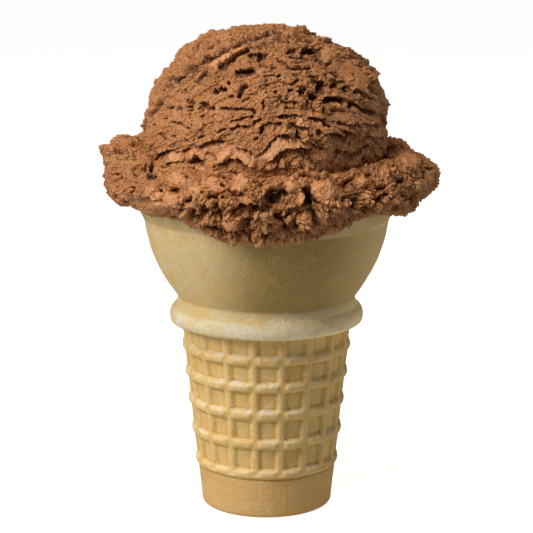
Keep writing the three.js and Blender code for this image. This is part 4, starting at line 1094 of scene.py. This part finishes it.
even_angles = np.arange(COLLAR_COLUMNS) * 2 * np.pi / COLLAR_COLUMNS
angles = even_angles - 2 * FRONT_CROWDING * np.sin(even_angles)
seen_turns = even_turns(angles, *COLLAR_SEEN, COLLAR_SEEN_ROWS)
hidden_count = COLLAR_ROWS - COLLAR_SEEN_ROWS
hidden_turns = even_turns(angles, COLLAR_SEEN[1], COLLAR_SEEN[0] + 2 * np.pi, hidden_count + 2)[:, 1:-1]
collar_turn = np.hstack([seen_turns, hidden_turns])
collar_angle = np.broadcast_to(angles[:, None], collar_turn.shape)
collar_smooth = collar_form(collar_angle, collar_turn)
collar_out = np.moveaxis(surface_normals(collar_smooth, closed=True), -1, 0)
collar_out = np.stack([surroundings(part, True, 9) for part in collar_out], -1)
collar_out /= np.linalg.norm(collar_out, axis=-1, keepdims=True)
shown = smoothstep(np.hypot(collar_smooth[..., 0], collar_smooth[..., 1]), 30, 33)
collar_shape = (COLLAR_COLUMNS, COLLAR_ROWS)
drawn_height, drawn_tuck, smeared = (values.reshape(collar_shape) for values in drawn_relief(
    collar_smooth.reshape(-1, 3), collar_out.reshape(-1, 3), COLLAR_LEDGES, COLLAR_CRACKS, COLLAR_PITS,
    COLLAR_SMEARS, COLLAR_LUMPS))
collar_height = collar_relief(collar_smooth.reshape(-1, 3)).reshape(collar_shape)
collar_height = collar_height * (1 - 0.75 * smeared) * shown + drawn_height
collar_place = sagged(collar_smooth, collar_out, collar_height, drawn_tuck, 0.12)
collar_normal = surface_normals(collar_place, closed=True)
# Hollowness that the material paints as shade in hollows and as highlight on crests.
collar_hollow = hollowness(collar_height, True, {3: 0.7, 10: 0.7, 24: 0.3})
width = COLLAR_COLUMNS // COLLAR_PATCHES
for number in range(COLLAR_PATCHES):
    patch = (number * width + np.arange(width + 1)) % COLLAR_COLUMNS
    ends = collar_angle[patch[[0, -1]], 0]
    tips = [(COLLAR_R * np.sin(end), -COLLAR_R * np.cos(end), COLLAR_Z) for end in ends]
    piece = closed_patch(f"scoop_collar_{number + 1}", collar_place[patch], collar_normal[patch], tips,
                         tube=True, hollow=collar_hollow[patch], smear=smeared[patch])
    piece.data.materials.append(ice_cream)
    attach(piece, "root")
    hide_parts("ice_cream_scoop")


# ---- Floor, light and camera ----
# A plain white table in a white room. Two soft lights stand on the left, one of them high up, a weak one
# stands low on the right, and the room gives a little light of its own. Sizes are in metres.

FLOOR_HALF = 8
FLOOR_Z = -0.0002
LIGHTS_AIM = (0, 0, 0.07)
CAMERA_LENS = 134.5
CAMERA_FILM = 36


def floor_white():
    """White laminate that is bright to the eye and gives only a little warm light back."""
    material = bpy.data.materials.new("white_floor")
    material.use_nodes = True
    tree = material.node_tree
    tree.nodes.remove(tree.nodes["Principled BSDF"])
    glow = node(tree, "Emission", {"Color": (1, 1, 1, 1), "Strength": 0.93}).outputs[0]
    matt = node(tree, "BsdfDiffuse", {"Color": (0.8, 0.8, 0.8, 1)}).outputs[0]
    bright = node(tree, "AddShader", {0: glow, 1: matt}).outputs[0]
    grey = node(tree, "BsdfDiffuse", {"Color": (0.4, 0.4, 0.4, 1)}).outputs[0]
    bounce = node(tree, "Emission", {"Color": (1, 0.94, 0.8, 1), "Strength": 0.2}).outputs[0]
    dim = node(tree, "AddShader", {0: grey, 1: bounce}).outputs[0]
    eye = node(tree, "LightPath").outputs["Is Camera Ray"]
    shown = node(tree, "MixShader", {0: eye, 1: dim, 2: bright}).outputs[0]
    tree.links.new(shown, tree.nodes["Material Output"].inputs["Surface"])
    return material


floor_mesh = bpy.data.meshes.new("floor")
floor_corners = [(FLOOR_HALF * x, FLOOR_HALF * y, FLOOR_Z) for x, y in ((-1, -1), (1, -1), (1, 1), (-1, 1))]
floor_mesh.from_pydata(floor_corners, [], [(0, 1, 2, 3)])
floor = bpy.data.objects.new("floor", floor_mesh)
bpy.context.scene.collection.objects.link(floor)
floor.data.materials.append(floor_white())

world = bpy.data.worlds.new("white_room")
world.use_nodes = True
bpy.context.scene.world = world
room = world.node_tree
seen_room = node(room, "Background", {"Color": (1, 1, 1, 1), "Strength": 1.0}).outputs[0]
felt_room = node(room, "Background", {"Color": (1, 0.9, 0.72, 1), "Strength": 0.04}).outputs[0]
looked_at = node(room, "LightPath").outputs["Is Camera Ray"]
room_mix = node(room, "MixShader", {0: looked_at, 1: felt_room, 2: seen_room}).outputs[0]
room.links.new(room_mix, room.nodes["World Output"].inputs["Surface"])


def soft_light(name, azimuth, elevation, distance, size, watts, colour):
    """A square soft light aimed at the scoop's foot. Its azimuth is measured from the front to the right."""
    turn, rise = np.radians(azimuth), np.radians(elevation)
    back = np.array([np.sin(turn) * np.cos(rise), -np.cos(turn) * np.cos(rise), np.sin(rise)])
    right = np.array([np.cos(turn), np.sin(turn), 0])
    light = bpy.data.objects.new(name, bpy.data.lights.new(name, "AREA"))
    light.data.size, light.data.energy, light.data.color = size, watts, colour
    basis = np.eye(4)
    basis[:3, :3] = np.stack([right, np.cross(back, right), back], axis=1)
    basis[:3, 3] = back * distance + LIGHTS_AIM
    light.matrix_world = Matrix(basis.tolist())
    bpy.context.scene.collection.objects.link(light)


soft_light("key_light", -60, 31, 0.6, 0.28, 2.9, (1, 0.98, 0.94))
soft_light("top_light", -32, 64, 0.6, 0.22, 2.25, (1, 0.955, 0.84))
soft_light("side_light", 104, 2, 0.6, 0.3, 0.8, (1, 0.94, 0.76))

camera = bpy.data.objects.new("camera", bpy.data.cameras.new("camera"))
camera.data.lens = CAMERA_LENS
camera.data.sensor_width = CAMERA_FILM
camera.data.clip_end = 20
camera.location = (VIEW_AIM - VIEW_DISTANCE * VIEW_AHEAD) * 0.001
camera.rotation_euler = (np.pi / 2 - VIEW_ELEVATION, 0, 0)
bpy.context.scene.collection.objects.link(camera)
bpy.context.scene.camera = camera
bpy.context.scene.view_settings.view_transform = "Standard"
